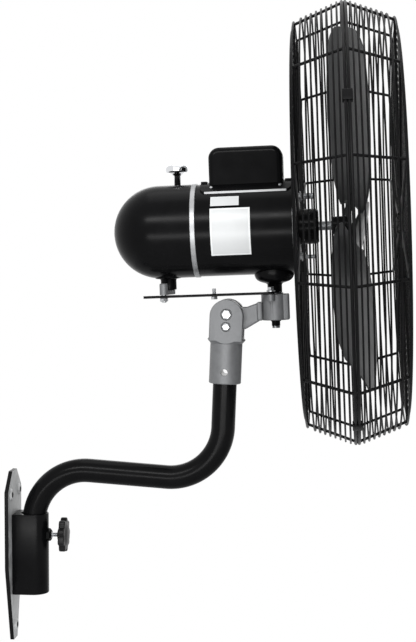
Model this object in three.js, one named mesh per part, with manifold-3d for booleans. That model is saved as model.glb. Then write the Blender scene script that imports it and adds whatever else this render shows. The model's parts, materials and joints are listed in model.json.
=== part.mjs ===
// Industrial wall fan: a 24 inch oscillating head on a bent steel arm, with a clamped wall bracket.
// Millimetres. +Z is up and +X points away from the wall.
// The origin is the centre of the wall plate's back face.
import * as THREE from "three";
import { mergeVertices } from "three/addons/utils/BufferGeometryUtils.js";
import Module from "manifold-3d";

const wasm = await Module();
wasm.setup();

// ---------------------------------------------------------------- fits
const GAP = 0.3; // between pieces that touch
const RUNNING = 0.1; // radial, between a turning piece and its seat
const THREAD_PLAY = 0.3; // radial, between a screw and its hole

// ---------------------------------------------------------------- wall bracket
const PLATE_THICK = 6.3;
const PLATE_HALF_WIDTH = 45;
const PLATE_TOP = 134;
const PLATE_BOTTOM = -141;
const PLATE_CORNER = 30; // 45 degree cut of each top corner
const PLATE_TAPER_TOP = -20; // the sides run in from here down
const PLATE_FOOT_HALF_WIDTH = 12;
const FIXING_RADIUS = 4.5;
const FIXING_RIM_RADIUS = 9;
const FIXING_RIM_HEIGHT = 3;
const FIXING_TOP_Z = 98;
const FIXING_TOP_Y = 27;
const FIXING_FOOT_Z = -119;

const ARM_RADIUS = 19;
const ARM_WALL = 2.5;
const ARM_AXIS_X = 38; // the arm's upright axis, from the wall
const SOCKET_PLAY = 0.4; // radial, arm in socket
const SOCKET_WALL = 4;
const SOCKET_TOP = 65;
const SOCKET_BOTTOM = -61;
const SOCKET_MOUTH_PLAY = 2.2; // radial, where the arm's bend begins
const SOCKET_MOUTH_DEPTH = 19;
const SOCKET_FLOOR_THICK = 4;

const CLAMP_Z = 29.5;
const CLAMP_NUT_RADIUS = 10.5; // over the corners
const CLAMP_NUT_LENGTH = 5.5; // past the socket's front
const CLAMP_NUT_ROOT = 4; // wrapped round the socket, behind its front
const STUD_RADIUS = 3.5;
const STUD_IN_KNOB = 10;
const CLAMP_GRIP_GAP = 10.6; // nut to knob
const KNOB_HUB_RADIUS = 11;
const KNOB_HUB_LENGTH = 3.5;
const KNOB_RADIUS = 28;
const KNOB_LOBE_DEPTH = 3;
const KNOB_LOBES = 9;
const KNOB_BODY_LENGTH = 10.5;
const KNOB_CROWN = 3;

// ---------------------------------------------------------------- arm
const ELBOW_Z = 141; // where the upright and the run would meet
const ARM_REACH = 303.4; // upright axis to the neck axis, along X, at the lower corner
const RUN_FALL = THREE.MathUtils.degToRad(3.9);
const NECK_LEAN = THREE.MathUtils.degToRad(2.2);
const ELBOW_RADIUS = 85;
const SWEEP_RADIUS = 85;
const BEND_STEPS = 8;
const NECK_FOOT_RISE = 158; // lower corner to the sleeve's foot, along the neck
const TUBE_IN_SLEEVE = 59.5;

const SLEEVE_RADIUS = 25.5;
const SLEEVE_LENGTH = 69.5;
const SLEEVE_LIP = 5; // how far the lips stand past the sleeve
const SLEEVE_LIP_RISE = 5;
const CROSS_HOLE_RADIUS = 5.5;
const CROSS_HOLE_RISE = 18.5;
const CLEVIS_HALF_WIDTH = 26.3;
const CLEVIS_CROWN_DROP = 3; // its round top's centre below the pivot
const PIVOT_RISE = 110.3; // sleeve's foot to the tilt pivot
const LOCK_DROP = 19.4; // lock bolt below the pivot
const TONGUE_HALF_WIDTH = 11;
const CLEVIS_SIDE_GAP = 0.3;
const CLEVIS_FLOOR_DROP = 36;
const COUNTERBORE_DEPTH = 4;
const COUNTERBORE_PLAY = 1.4;
const PIVOT_BOLT_RADIUS = 5;
const PIVOT_HEAD_RADIUS = 8;
const LOCK_BOLT_RADIUS = 4;
const LOCK_HEAD_RADIUS = 6.5;
const BOLT_HEAD_THICK = 5.5;
const BOLT_END_PROUD = 2;

// ---------------------------------------------------------------- tilt arm
const HEAD_TILT = THREE.MathUtils.degToRad(2.2); // nose up, as fitted
const KING_FORWARD = 76.2; // tilt pivot to the king pin
const BOSS_TOP_RISE = 28.9; // tilt pivot to the top of the king pin boss
const TILT_UP = THREE.MathUtils.degToRad(20);
const TILT_DOWN = THREE.MathUtils.degToRad(20);
const TONGUE_RADIUS = 20;
const TONGUE_LOBE_RADIUS = 29;
// The strut from the tongue to the collar: points as (forward, up) of the tilt pivot.
const STRUT = [[0, 9.8], [31, 9.8], [52, 16.8], [52, -12.1], [28.5, -25], [10, -25]];
const COLLAR_THICK = 7;
const COLLAR_HALF_WIDTH = 15;
const COLLAR_TOP = 17; // above the tilt pivot
const BOSS_RADIUS = 22;
const BOSS_HEIGHT = 41;
const BOSS_BLOCK_START = 5;
const BOSS_BLOCK_HALF_WIDTH = 17.5;
const KING_PIN_RADIUS = 6;
const KING_BUSH_WALL = 3;
const KING_PIN_IN_POST = 20;
const KING_NUT_RADIUS = 7.5;
const KING_NUT_HEIGHT = 9;
const KING_PIN_PROUD = 3.5;

// The link: its two pivots stand off the king pin and the crank shaft alike, so it stays parallel to the head.
const THROW_X = -5.2;
const THROW_Y = -24.6;
const LUG_RADIUS = 6;
const LUG_HEIGHT = 10;
const LINK_PIVOT_RADIUS = 3.5;
const LINK_HALF_WIDTH = 6;
const LINK_THICK = 4;
const LINK_TAIL = 26.6; // past the crank pin
const LINK_WASHER_RADIUS = 6.8;
const LINK_WASHER_THICK = 2.1;
const LINK_HEAD_RADIUS = 5.5;
const LINK_HEAD_THICK = 5.5;
const LINK_BOLT_BACK = 94; // king pin to the bolt in the bar
const LINK_BOLT_RADIUS = 3;
const LINK_BOLT_RISE = 8; // stud above the bar
const LINK_BOLT_HEAD = 4.5;

// ---------------------------------------------------------------- saddle and motor
const WASHER_RADIUS = 13;
const WASHER_THICK = 1.7;
const POST_RADIUS = 11.5;
const POST_TOP = 16;
const BOWL_RADIUS = 31.5;
const BOWL_FLARE = [[0.68, 0.16], [0.9, 0.5]]; // shares of the bowl's radius and of its rise
const MOTOR_RADIUS = 72.5;
const MOTOR_SEAT = 31.5; // king pin boss top to the motor's underside
const MOTOR_RISE = MOTOR_SEAT + MOTOR_RADIUS; // king pin boss top to the motor axis
const MOTOR_WALL = 3;
const MOTOR_FRONT = 33.4;
const MOTOR_LENGTH = 149.4;
const BELL_THICK = 6;
const BELL_BEVEL = 3;
const REAR_PLATE_THICK = 8;
const REAR_PLATE_RADIUS = MOTOR_RADIUS + 1.5;
const CASE_RADIUS = MOTOR_RADIUS + 0.8;
const CASE_WALL = 3;
const CASE_STRAIGHT = 54;
const CRANK_BACK = 168.2; // king pin to the crank shaft
const CRANK_BOSS_RADIUS = 12.5;
const CRANK_BOSS_BOTTOM = 12.3;
const CRANK_BOSS_TOP = 46;
const CRANK_FLANGE_RADIUS = 21;
const CRANK_FLANGE_BOTTOM = 30;
const CRANK_FLANGE_TOP = 40;

const SHAFT_RADIUS = 7;
const SHAFT_TAIL_RADIUS = 4.2;
const STATOR_FRONT = -5;
const STATOR_LENGTH = 80;
const ROTOR_RADIUS = 38;
const AIR_GAP = 0.6;
const WINDING_LENGTH = 18;
const WINDING_OUTER = MOTOR_RADIUS - 11;
const WINDING_INNER = 43;
const REAR_BEARING_RADIUS = 17;
const FRONT_BEARING_RADIUS = 20;
const FRONT_BEARING_LENGTH = 14;
const HOUSING_RADIUS = 27.5;
const HOUSING_LENGTH = 33.1;
const HOUSING_NOSE = 12;
const BELL_HOLE_RADIUS = 12;

// ---------------------------------------------------------------- oscillating gear
const CLUTCH_BACK = 150.3; // king pin to the clutch shaft
const CLUTCH_SIDE = 20; // clutch shaft beside the motor axis
const CLUTCH_RADIUS = 4;
const CLUTCH_DROP = 15; // its top below the gear case's
const CLUTCH_TOP = MOTOR_RISE + CASE_RADIUS - CLUTCH_DROP;
const WORM_RADIUS = 7;
const WORM_LENGTH = 28;
const WORM_THREADS = 6;
const WORM_THREAD_DEPTH = 1.2;
const GEAR_TIP_GAP = 0.4;
const WHEEL_THICK = 10;
const WHEEL_TEETH = 12;
const CRANK_GEAR_RADIUS = 19;
const CRANK_GEAR_TEETH = 20;
const CRANK_GEAR_BOTTOM = 55;
const CRANK_GEAR_THICK = 6;
const PINION_TEETH = 8;
const PINION_THICK = 8;
const TOOTH_DEPTH = 1.6;
const CRANK_SHAFT_RADIUS = 6;
const CRANK_ARM_BOTTOM = 5;
const CRANK_HUB_RADIUS = 10;
const CRANK_EYE_RADIUS = 6.5;
const CRANK_EYE_TOP = 23;
const CRANK_PIN_RADIUS = 4;
const CRANK_PIN_BOTTOM = -7;
const CRANK_NUT_RADIUS = 7;
const CRANK_NUT_THICK = 5.2;
const PULL_RADIUS = 18;
const PULL_EDGE = 3;
const PULL_STAND_OFF = 20; // above the gear case
const PULL_BOTTOM = MOTOR_RISE + CASE_RADIUS + PULL_STAND_OFF;
const PULL_HEIGHT = 12.5;
const PULL_STEM_RADIUS = 5.5;

// ---------------------------------------------------------------- capacitor
const BASE_BACK = -109;
const BASE_FRONT = 32.5;
const BASE_HALF_WIDTH = 47;
const BASE_THICK = 2.5; // sheet bent round the motor
const BASE_BLOCK_LENGTH = 10;
const BASE_BLOCK_HALF_WIDTH = 20;
const BASE_BLOCK_RISE = 3.5; // above the motor's top
const COVER_BACK = -95.8;
const COVER_FRONT = 19.8;
const COVER_HALF_WIDTH = 29;
const COVER_RISE = 55.5; // above the motor's top
const COVER_TOP = MOTOR_RISE + MOTOR_RADIUS + COVER_RISE;
const COVER_WALL = 2;
const COVER_END_ROUND = 17;
const COVER_SIDE_ROUND = 12;
const CAPACITOR_RADIUS = 17;
const CAPACITOR_LENGTH = 85;
const COVER_SCREW_INSET = 4.5; // from the cover's ends
const COVER_SCREW_ANGLE = 30; // degrees from the motor's top toward -Y
const COVER_SCREW_RADIUS = 1.5;
const COVER_SCREW_HEAD_RADIUS = 2.6;
const COVER_SCREW_HEAD = 2;

// ---------------------------------------------------------------- guard
const RIM_X = 121.5; // plane where the two halves of the guard meet
const FACE_DEPTH = 75.5; // rim plane to the ribs, at the corner
const RIM_RADIUS = 341.5;
const CORNER_RADIUS = 314;
const RIM_WIRE = 2.5; // wire radii
const RIB_WIRE = 2.25;
const RING_WIRE = 1.6;
const WELD = 0.8; // how far welded wires sink into each other
const RIBS = 12;
const RIB_LAP = 4; // how far the ribs reach over the hub plate and the cap
const RING_SIDES = 36;
const FACE_RINGS = 3;
const WALL_RINGS = 1;
const FACE_BULGE = 2.65;
const RIB_CORNER = 3;
const HUB_PLATE_RADIUS = MOTOR_RADIUS + 6;
const HUB_PLATE_THICK = 2.2;
const HUB_PLATE_PLAY = 1.5;
const FRONT_CAP_RADIUS = 62;
const FRONT_CAP_THICK = 2.2;
const GUARD_BOLT_OFFSET = (MOTOR_RADIUS - 5.5) * Math.SQRT1_2; // across and up from the axis
const GUARD_BOLT_RADIUS = 3;
const GUARD_BOLT_PROUD = 26; // past the hub plate
const GUARD_NUT_RADIUS = 6.5;
const GUARD_NUT_THICK = 5;
const CLIPS = 4;
const CLIP_PHASE = THREE.MathUtils.degToRad(60); // between two ribs
const CLIP_HALF_LENGTH = 9;
const CLIP_WALL = 2;

// ---------------------------------------------------------------- fan
const HUB_BACK = 94.5;
const HUB_LENGTH = 28;
const HUB_RADIUS = 14;
const BLADES = 3;
const BLADE_TIP = 305;
const BLADE_THICK = 2.4;
const BLADE_PITCH = THREE.MathUtils.degToRad(23.5);
const BLADE_ROOT_X = 114;
const BLADE_TIP_X = 123.5;
const BLADE_HALF = 72; // half its greatest width
const BLADE_SET = 9; // how far its shoulder is set forward
// Shares of the span, of the greatest width and of the set: a narrow stem, a blunt shoulder and a rounded tip.
const BLADE_SHAPE = [
  [0, 0.15, 0], [0.07, 0.15, 0.85], [0.09, 0.5, 1], [0.22, 0.8, 0.9], [0.38, 0.95, 0.7],
  [0.54, 1, 0.45], [0.7, 0.98, 0.25], [0.84, 0.9, 0.1], [0.95, 0.76, 0], [1, 0.52, 0],
];
const BLADE_CAMBER = 9;
const BLADE_PHASE = THREE.MathUtils.degToRad(16);
const BLADE_CHORD_STEPS = 5;

// ---------------------------------------------------------------- helpers
// A closed geometry as a solid that faces out.
function solid(geometry) {
  const bare = geometry.clone();
  bare.deleteAttribute("normal");
  bare.deleteAttribute("uv");
  const merged = mergeVertices(bare);
  const vertProperties = merged.attributes.position.array;
  const triVerts = new Uint32Array(merged.index.array);
  const made = new wasm.Manifold(new wasm.Mesh({ numProp: 3, vertProperties, triVerts }));
  if (made.volume() > 0) return made;
  const turned = triVerts.slice().reverse();
  return new wasm.Manifold(new wasm.Mesh({ numProp: 3, vertProperties, triVerts: turned }));
}

const join = (first, ...others) => others.reduce((all, next) => all.add(next), first);
const cut = (first, ...others) => others.reduce((all, next) => all.subtract(next), first);

// Turns a form that lies along Z so that it lies along the named axis, keeping the axes' order.
function along(axis, geometry) {
  const turns = {
    x: [new THREE.Vector3(0, 1, 0), new THREE.Vector3(0, 0, 1), new THREE.Vector3(1, 0, 0)],
    y: [new THREE.Vector3(0, 0, 1), new THREE.Vector3(1, 0, 0), new THREE.Vector3(0, 1, 0)],
    z: [new THREE.Vector3(1, 0, 0), new THREE.Vector3(0, 1, 0), new THREE.Vector3(0, 0, 1)],
  };
  return geometry.applyMatrix4(new THREE.Matrix4().makeBasis(...turns[axis]));
}

// A round bar or an n-sided bar from low to high along an axis. at gives its centre.
function rod(axis, radius, low, high, at = [0, 0, 0], sides = 16) {
  const bar = new THREE.CylinderGeometry(radius, radius, high - low, sides);
  bar.rotateX(Math.PI / 2).translate(0, 0, (low + high) / 2);
  return solid(along(axis, bar).translate(...at));
}

// The same bar for cutting a hole: its flats, not its corners, stand at the radius.
function hole(axis, radius, low, high, at = [0, 0, 0], sides = 16) {
  return rod(axis, radius / Math.cos(Math.PI / sides), low, high, at, sides);
}

function box(x0, x1, y0, y1, z0, z1) {
  const block = new THREE.BoxGeometry(x1 - x0, y1 - y0, z1 - z0);
  return solid(block.translate((x0 + x1) / 2, (y0 + y1) / 2, (z0 + z1) / 2));
}

// A flat outline extruded from low to high: Z takes (x, y) points, X takes (y, z) and Y takes (z, x).
function prism(axis, outline, low, high) {
  const shape = new THREE.Shape(outline.map(([a, b]) => new THREE.Vector2(a, b)));
  const block = new THREE.ExtrudeGeometry(shape, { depth: high - low, bevelEnabled: false });
  return solid(along(axis, block.translate(0, 0, low)));
}

// A turned form from [radius, height] points.
function turned(axis, profile, at = [0, 0, 0], sides = 24) {
  const form = new THREE.LatheGeometry(profile.map(([r, h]) => new THREE.Vector2(r, h)), sides);
  return solid(along(axis, form.rotateX(Math.PI / 2)).translate(...at));
}

// Points of an arc in the outline's plane.
function arc(centre, radius, from, to, steps) {
  return Array.from({ length: steps + 1 }, (_, i) => {
    const angle = from + ((to - from) * i) / steps;
    return [centre[0] + radius * Math.cos(angle), centre[1] + radius * Math.sin(angle)];
  });
}

// A slot-shaped outline round two points.
function stadium(a, b, radiusA, radiusB = radiusA, steps = 8) {
  const heading = Math.atan2(b[1] - a[1], b[0] - a[0]);
  return [
    ...arc(a, radiusA, heading + Math.PI / 2, heading + (3 * Math.PI) / 2, steps),
    ...arc(b, radiusB, heading - Math.PI / 2, heading + Math.PI / 2, steps),
  ];
}

// A gear's outline.
function gearOutline(centre, radius, teeth) {
  const points = [];
  for (let i = 0; i < teeth; i++) {
    for (const [share, depth] of [[0, 0], [0.3, 0], [0.5, TOOTH_DEPTH], [0.8, TOOTH_DEPTH]]) {
      const angle = ((i + share) * 2 * Math.PI) / teeth;
      const r = radius - depth;
      points.push([centre[0] + r * Math.cos(angle), centre[1] + r * Math.sin(angle)]);
    }
  }
  return points;
}

// A path of straight stretches, swept with one ring of the section at each point.
class Stations extends THREE.Curve {
  constructor(points) {
    super();
    this.points = points;
  }
  index(t) {
    return Math.round(t * (this.points.length - 1));
  }
  getPoint(t, target = new THREE.Vector3()) {
    return target.copy(this.points[this.index(t)]);
  }
  getPointAt(t, target) {
    return this.getPoint(t, target);
  }
  getTangent(t, target = new THREE.Vector3()) {
    const i = this.index(t);
    const before = this.points[Math.max(i - 1, 0)];
    const here = this.points[i];
    const after = this.points[Math.min(i + 1, this.points.length - 1)];
    const arriving = here.clone().sub(before).normalize();
    const leaving = after.clone().sub(here).normalize();
    return target.copy(arriving.add(leaving)).normalize();
  }
  getTangentAt(t, target) {
    return this.getTangent(t, target);
  }
}

function sweep(points, radius, sides) {
  const section = new THREE.Shape(
    arc([0, 0], radius, 0, 2 * Math.PI, sides).slice(0, -1).map(([a, b]) => new THREE.Vector2(a, b)),
  );
  const options = { steps: points.length - 1, extrudePath: new Stations(points) };
  return solid(new THREE.ExtrudeGeometry(section, options));
}

const place = (x, z) => new THREE.Vector3(x, 0, z);

// ---------------------------------------------------------------- looks
const LOOKS = {
  black: [0x17181a, 0.35, 0.2],
  satin: [0x8b8d8f, 0.5, 0.6],
  zinc: [0xb9bbbd, 0.35, 0.9],
  chrome: [0xdfe2e5, 0.1, 1],
  steel: [0x8f9499, 0.4, 0.9],
  copper: [0xa8643a, 0.45, 0.9],
  bronze: [0x9a7b45, 0.45, 0.9],
  blade: [0x77797b, 0.45, 0.6],
  plastic: [0x1a1a1b, 0.6, 0],
  plate: [0xa5a6a6, 0.55, 0.5],
};

const root = new THREE.Group();

function piece(parent, name, made, look) {
  const { vertProperties, triVerts } = made.getMesh();
  const geometry = new THREE.BufferGeometry();
  geometry.setAttribute("position", new THREE.BufferAttribute(vertProperties, 3));
  geometry.setIndex(new THREE.BufferAttribute(triVerts, 1));
  geometry.computeVertexNormals();
  const [color, roughness, metalness] = LOOKS[look];
  const mesh = new THREE.Mesh(geometry, new THREE.MeshStandardMaterial({ color, roughness, metalness }));
  mesh.name = name;
  parent.add(mesh);
}

// ---------------------------------------------------------------- wall bracket
const socketRadius = ARM_RADIUS + SOCKET_PLAY + SOCKET_WALL;
const socketFront = ARM_AXIS_X + socketRadius;

function wallPlate() {
  const outline = [
    [-PLATE_FOOT_HALF_WIDTH, PLATE_BOTTOM],
    [PLATE_FOOT_HALF_WIDTH, PLATE_BOTTOM],
    [PLATE_HALF_WIDTH, PLATE_TAPER_TOP],
    [PLATE_HALF_WIDTH, PLATE_TOP - PLATE_CORNER],
    [PLATE_HALF_WIDTH - PLATE_CORNER, PLATE_TOP],
    [PLATE_CORNER - PLATE_HALF_WIDTH, PLATE_TOP],
    [-PLATE_HALF_WIDTH, PLATE_TOP - PLATE_CORNER],
    [-PLATE_HALF_WIDTH, PLATE_TAPER_TOP],
  ];
  let plate = prism("x", outline, 0, PLATE_THICK);
  const fixings = [
    [FIXING_TOP_Y, FIXING_TOP_Z],
    [-FIXING_TOP_Y, FIXING_TOP_Z],
    [0, FIXING_FOOT_Z],
  ];
  for (const [y, z] of fixings) {
    plate = plate.add(rod("x", FIXING_RIM_RADIUS, PLATE_THICK / 2, PLATE_THICK + FIXING_RIM_HEIGHT, [0, y, z]));
    plate = plate.subtract(hole("x", FIXING_RADIUS, -1, PLATE_THICK + FIXING_RIM_HEIGHT + 1, [0, y, z]));
  }
  return plate;
}

// The socket's D-shaped outline, flat against the plate.
const socketOutline = [
  [PLATE_THICK, -socketRadius],
  ...arc([ARM_AXIS_X, 0], socketRadius, -Math.PI / 2, Math.PI / 2, 16),
  [PLATE_THICK, socketRadius],
];

function armSocket() {
  const axis = [ARM_AXIS_X, 0, 0];
  const bore = hole("z", ARM_RADIUS + SOCKET_PLAY, SOCKET_BOTTOM - 1, SOCKET_TOP + 1, axis, 24);
  const mouthFloor = SOCKET_TOP - SOCKET_MOUTH_DEPTH;
  const mouth = hole("z", ARM_RADIUS + SOCKET_MOUTH_PLAY, mouthFloor, SOCKET_TOP + 1, axis, 24);
  const studHole = hole("x", STUD_RADIUS + THREAD_PLAY, ARM_AXIS_X, socketFront + 1, [0, 0, CLAMP_Z]);
  return cut(prism("z", socketOutline, SOCKET_BOTTOM, SOCKET_TOP), bore, mouth, studHole);
}

function clampNut() {
  const end = socketFront + CLAMP_NUT_LENGTH;
  const hex = rod("x", CLAMP_NUT_RADIUS, socketFront - CLAMP_NUT_ROOT, end, [0, 0, CLAMP_Z], 6);
  const socketBody = rod("z", socketRadius + GAP, SOCKET_BOTTOM, SOCKET_TOP, [ARM_AXIS_X, 0, 0], 24);
  return cut(hex, socketBody, hole("x", STUD_RADIUS + THREAD_PLAY, ARM_AXIS_X, end + 1, [0, 0, CLAMP_Z]));
}

const knobStart = socketFront + CLAMP_NUT_LENGTH + CLAMP_GRIP_GAP;
const studTip = ARM_AXIS_X + ARM_RADIUS + GAP;

function clampStud() {
  return rod("x", STUD_RADIUS, studTip, knobStart + STUD_IN_KNOB, [0, 0, CLAMP_Z], 16);
}

function clampKnob() {
  const bodyStart = knobStart + KNOB_HUB_LENGTH;
  const bodyEnd = bodyStart + KNOB_BODY_LENGTH;
  const lobes = Array.from({ length: KNOB_LOBES * 4 }, (_, i) => {
    const angle = (i * Math.PI) / (KNOB_LOBES * 2);
    const r = KNOB_RADIUS - (KNOB_LOBE_DEPTH * (1 - Math.cos(angle * KNOB_LOBES))) / 2;
    return [r * Math.cos(angle), CLAMP_Z + r * Math.sin(angle)];
  });
  const crown = turned("x", [
    [0, bodyEnd - 1],
    [KNOB_RADIUS - KNOB_LOBE_DEPTH, bodyEnd - 1],
    [KNOB_RADIUS - KNOB_LOBE_DEPTH, bodyEnd],
    [KNOB_RADIUS / 2, bodyEnd + KNOB_CROWN * 0.8],
    [0, bodyEnd + KNOB_CROWN],
  ], [0, 0, CLAMP_Z]);
  return cut(
    join(
      rod("x", KNOB_HUB_RADIUS, knobStart, bodyStart + 1, [0, 0, CLAMP_Z]),
      prism("x", lobes, bodyStart, bodyEnd),
      crown,
    ),
    hole("x", STUD_RADIUS + GAP, knobStart - 1, knobStart + STUD_IN_KNOB + GAP, [0, 0, CLAMP_Z], 16),
  );
}

piece(root, "wall_plate", wallPlate(), "plate");
piece(root, "arm_socket", armSocket(), "black");
const socketFloor = prism("z", socketOutline, SOCKET_BOTTOM - SOCKET_FLOOR_THICK, SOCKET_BOTTOM);
piece(root, "socket_floor", socketFloor, "black");
piece(root, "clamp_nut", clampNut(), "black");
piece(root, "clamp_stud", clampStud(), "zinc");
piece(root, "clamp_knob", clampKnob(), "plastic");

// ---------------------------------------------------------------- arm tube
const neckUp = place(Math.sin(NECK_LEAN), Math.cos(NECK_LEAN));
const lowerCorner = place(ARM_AXIS_X + ARM_REACH, ELBOW_Z - ARM_REACH * Math.tan(RUN_FALL));
const neckFoot = lowerCorner.clone().addScaledVector(neckUp, NECK_FOOT_RISE);

// Points along a bend of the given radius that rounds the corner between two stretches.
function bend(before, corner, after, radius) {
  const arriving = corner.clone().sub(before).normalize();
  const leaving = after.clone().sub(corner).normalize();
  const turn = arriving.angleTo(leaving);
  const start = corner.clone().addScaledVector(arriving, -radius * Math.tan(turn / 2));
  const inward = leaving.clone().addScaledVector(arriving, -leaving.dot(arriving)).normalize();
  return Array.from({ length: BEND_STEPS + 1 }, (_, i) => {
    const angle = (turn * i) / BEND_STEPS;
    return start
      .clone()
      .addScaledVector(arriving, radius * Math.sin(angle))
      .addScaledVector(inward, radius * (1 - Math.cos(angle)));
  });
}

function armTube() {
  const foot = place(ARM_AXIS_X, SOCKET_BOTTOM + GAP);
  const elbow = place(ARM_AXIS_X, ELBOW_Z);
  const end = neckFoot.clone().addScaledVector(neckUp, TUBE_IN_SLEEVE);
  const bends = [
    ...bend(foot, elbow, lowerCorner, ELBOW_RADIUS),
    ...bend(elbow, lowerCorner, end, SWEEP_RADIUS),
  ];
  const below = foot.clone().add(place(0, -1));
  const above = end.clone().add(neckUp);
  const wall = cut(
    sweep([foot, ...bends, end], ARM_RADIUS, 16),
    sweep([below, ...bends, above], ARM_RADIUS - ARM_WALL, 8),
  );
  const crossHoleAt = neckFoot.clone().addScaledVector(neckUp, CROSS_HOLE_RISE);
  return cut(wall, hole("y", CROSS_HOLE_RADIUS, -ARM_RADIUS - 1, ARM_RADIUS + 1, crossHoleAt.toArray(), 16));
}

piece(root, "arm_tube", armTube(), "black");

// ---------------------------------------------------------------- neck, in its own leaning frame
const neck = new THREE.Group();
neck.position.copy(neckFoot);
neck.rotation.y = NECK_LEAN;
root.add(neck);

const lockRise = PIVOT_RISE - LOCK_DROP;

function neckCasting() {
  const outline = [
    [SLEEVE_LENGTH, -CLEVIS_HALF_WIDTH],
    ...arc([PIVOT_RISE - CLEVIS_CROWN_DROP, 0], CLEVIS_HALF_WIDTH, -Math.PI / 2, Math.PI / 2, 16),
    [SLEEVE_LENGTH, CLEVIS_HALF_WIDTH],
  ];
  const lips = turned("z", [
    [0, SLEEVE_LENGTH - SLEEVE_LIP_RISE],
    [SLEEVE_RADIUS - GAP, SLEEVE_LENGTH - SLEEVE_LIP_RISE],
    [SLEEVE_RADIUS + SLEEVE_LIP, SLEEVE_LENGTH],
    [SLEEVE_RADIUS - GAP, SLEEVE_LENGTH + SLEEVE_LIP_RISE],
    [0, SLEEVE_LENGTH + SLEEVE_LIP_RISE],
  ]);
  const reach = SLEEVE_RADIUS + SLEEVE_LIP + 1;
  const body = join(
    rod("z", SLEEVE_RADIUS, 0, SLEEVE_LENGTH + 1, [0, 0, 0], 24),
    prism("y", outline, -CLEVIS_HALF_WIDTH, CLEVIS_HALF_WIDTH),
    lips.intersect(box(-reach, reach, -CLEVIS_HALF_WIDTH, CLEVIS_HALF_WIDTH, 0, PIVOT_RISE)),
  );
  const slotHalf = TONGUE_HALF_WIDTH + CLEVIS_SIDE_GAP;
  const top = PIVOT_RISE + CLEVIS_HALF_WIDTH + 1;
  const cuts = [
    hole("z", ARM_RADIUS + GAP, -1, TUBE_IN_SLEEVE + GAP, [0, 0, 0], 24),
    box(-reach, reach, -slotHalf, slotHalf, PIVOT_RISE - CLEVIS_FLOOR_DROP, top),
    hole("y", CROSS_HOLE_RADIUS, -reach, reach, [0, 0, CROSS_HOLE_RISE], 16),
    hole("y", PIVOT_BOLT_RADIUS + THREAD_PLAY, -reach, reach, [0, 0, PIVOT_RISE]),
    hole("y", LOCK_BOLT_RADIUS + THREAD_PLAY, -reach, reach, [0, 0, lockRise]),
  ];
  for (const side of [-1, 1]) {
    const floor = side * (CLEVIS_HALF_WIDTH - COUNTERBORE_DEPTH);
    const low = Math.min(floor, side * reach);
    const high = Math.max(floor, side * reach);
    cuts.push(hole("y", PIVOT_HEAD_RADIUS + COUNTERBORE_PLAY, low, high, [0, 0, PIVOT_RISE]));
    cuts.push(hole("y", LOCK_HEAD_RADIUS + COUNTERBORE_PLAY, low, high, [0, 0, lockRise]));
  }
  return cut(body, ...cuts);
}

// A bolt across the clevis: its head toward -Y, its nut toward +Y, both in the counterbores.
const headSeat = CLEVIS_HALF_WIDTH - COUNTERBORE_DEPTH + GAP;

function crossBolt(radius, headRadius, height) {
  return join(
    rod("y", radius, -headSeat - 1, headSeat + BOLT_HEAD_THICK + BOLT_END_PROUD, [0, 0, height], 16),
    rod("y", headRadius, -headSeat - BOLT_HEAD_THICK, -headSeat, [0, 0, height], 6),
  );
}

function crossNut(radius, headRadius, height) {
  const nut = rod("y", headRadius, headSeat, headSeat + BOLT_HEAD_THICK, [0, 0, height], 6);
  return cut(nut, hole("y", radius + THREAD_PLAY, 0, headSeat + BOLT_HEAD_THICK + 1, [0, 0, height], 16));
}

piece(neck, "neck_casting", neckCasting(), "satin");
piece(neck, "tilt_pivot_bolt", crossBolt(PIVOT_BOLT_RADIUS, PIVOT_HEAD_RADIUS, PIVOT_RISE), "zinc");
piece(neck, "tilt_pivot_nut", crossNut(PIVOT_BOLT_RADIUS, PIVOT_HEAD_RADIUS, PIVOT_RISE), "zinc");
piece(neck, "tilt_lock_bolt", crossBolt(LOCK_BOLT_RADIUS, LOCK_HEAD_RADIUS, lockRise), "zinc");
piece(neck, "tilt_lock_nut", crossNut(LOCK_BOLT_RADIUS, LOCK_HEAD_RADIUS, lockRise), "zinc");

// ---------------------------------------------------------------- head frame
// Its origin is on the king pin at the top of the boss, its Z along the king pin and its X along the motor.
const pivot = neckFoot.clone().addScaledVector(neckUp, PIVOT_RISE);
const tilted = new THREE.Group();
tilted.position.copy(pivot);
tilted.rotation.y = -HEAD_TILT;
root.add(tilted);
const head = new THREE.Group();
head.position.set(KING_FORWARD, 0, BOSS_TOP_RISE);
tilted.add(head);

const bushRadius = KING_PIN_RADIUS + RUNNING + KING_BUSH_WALL;

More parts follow.
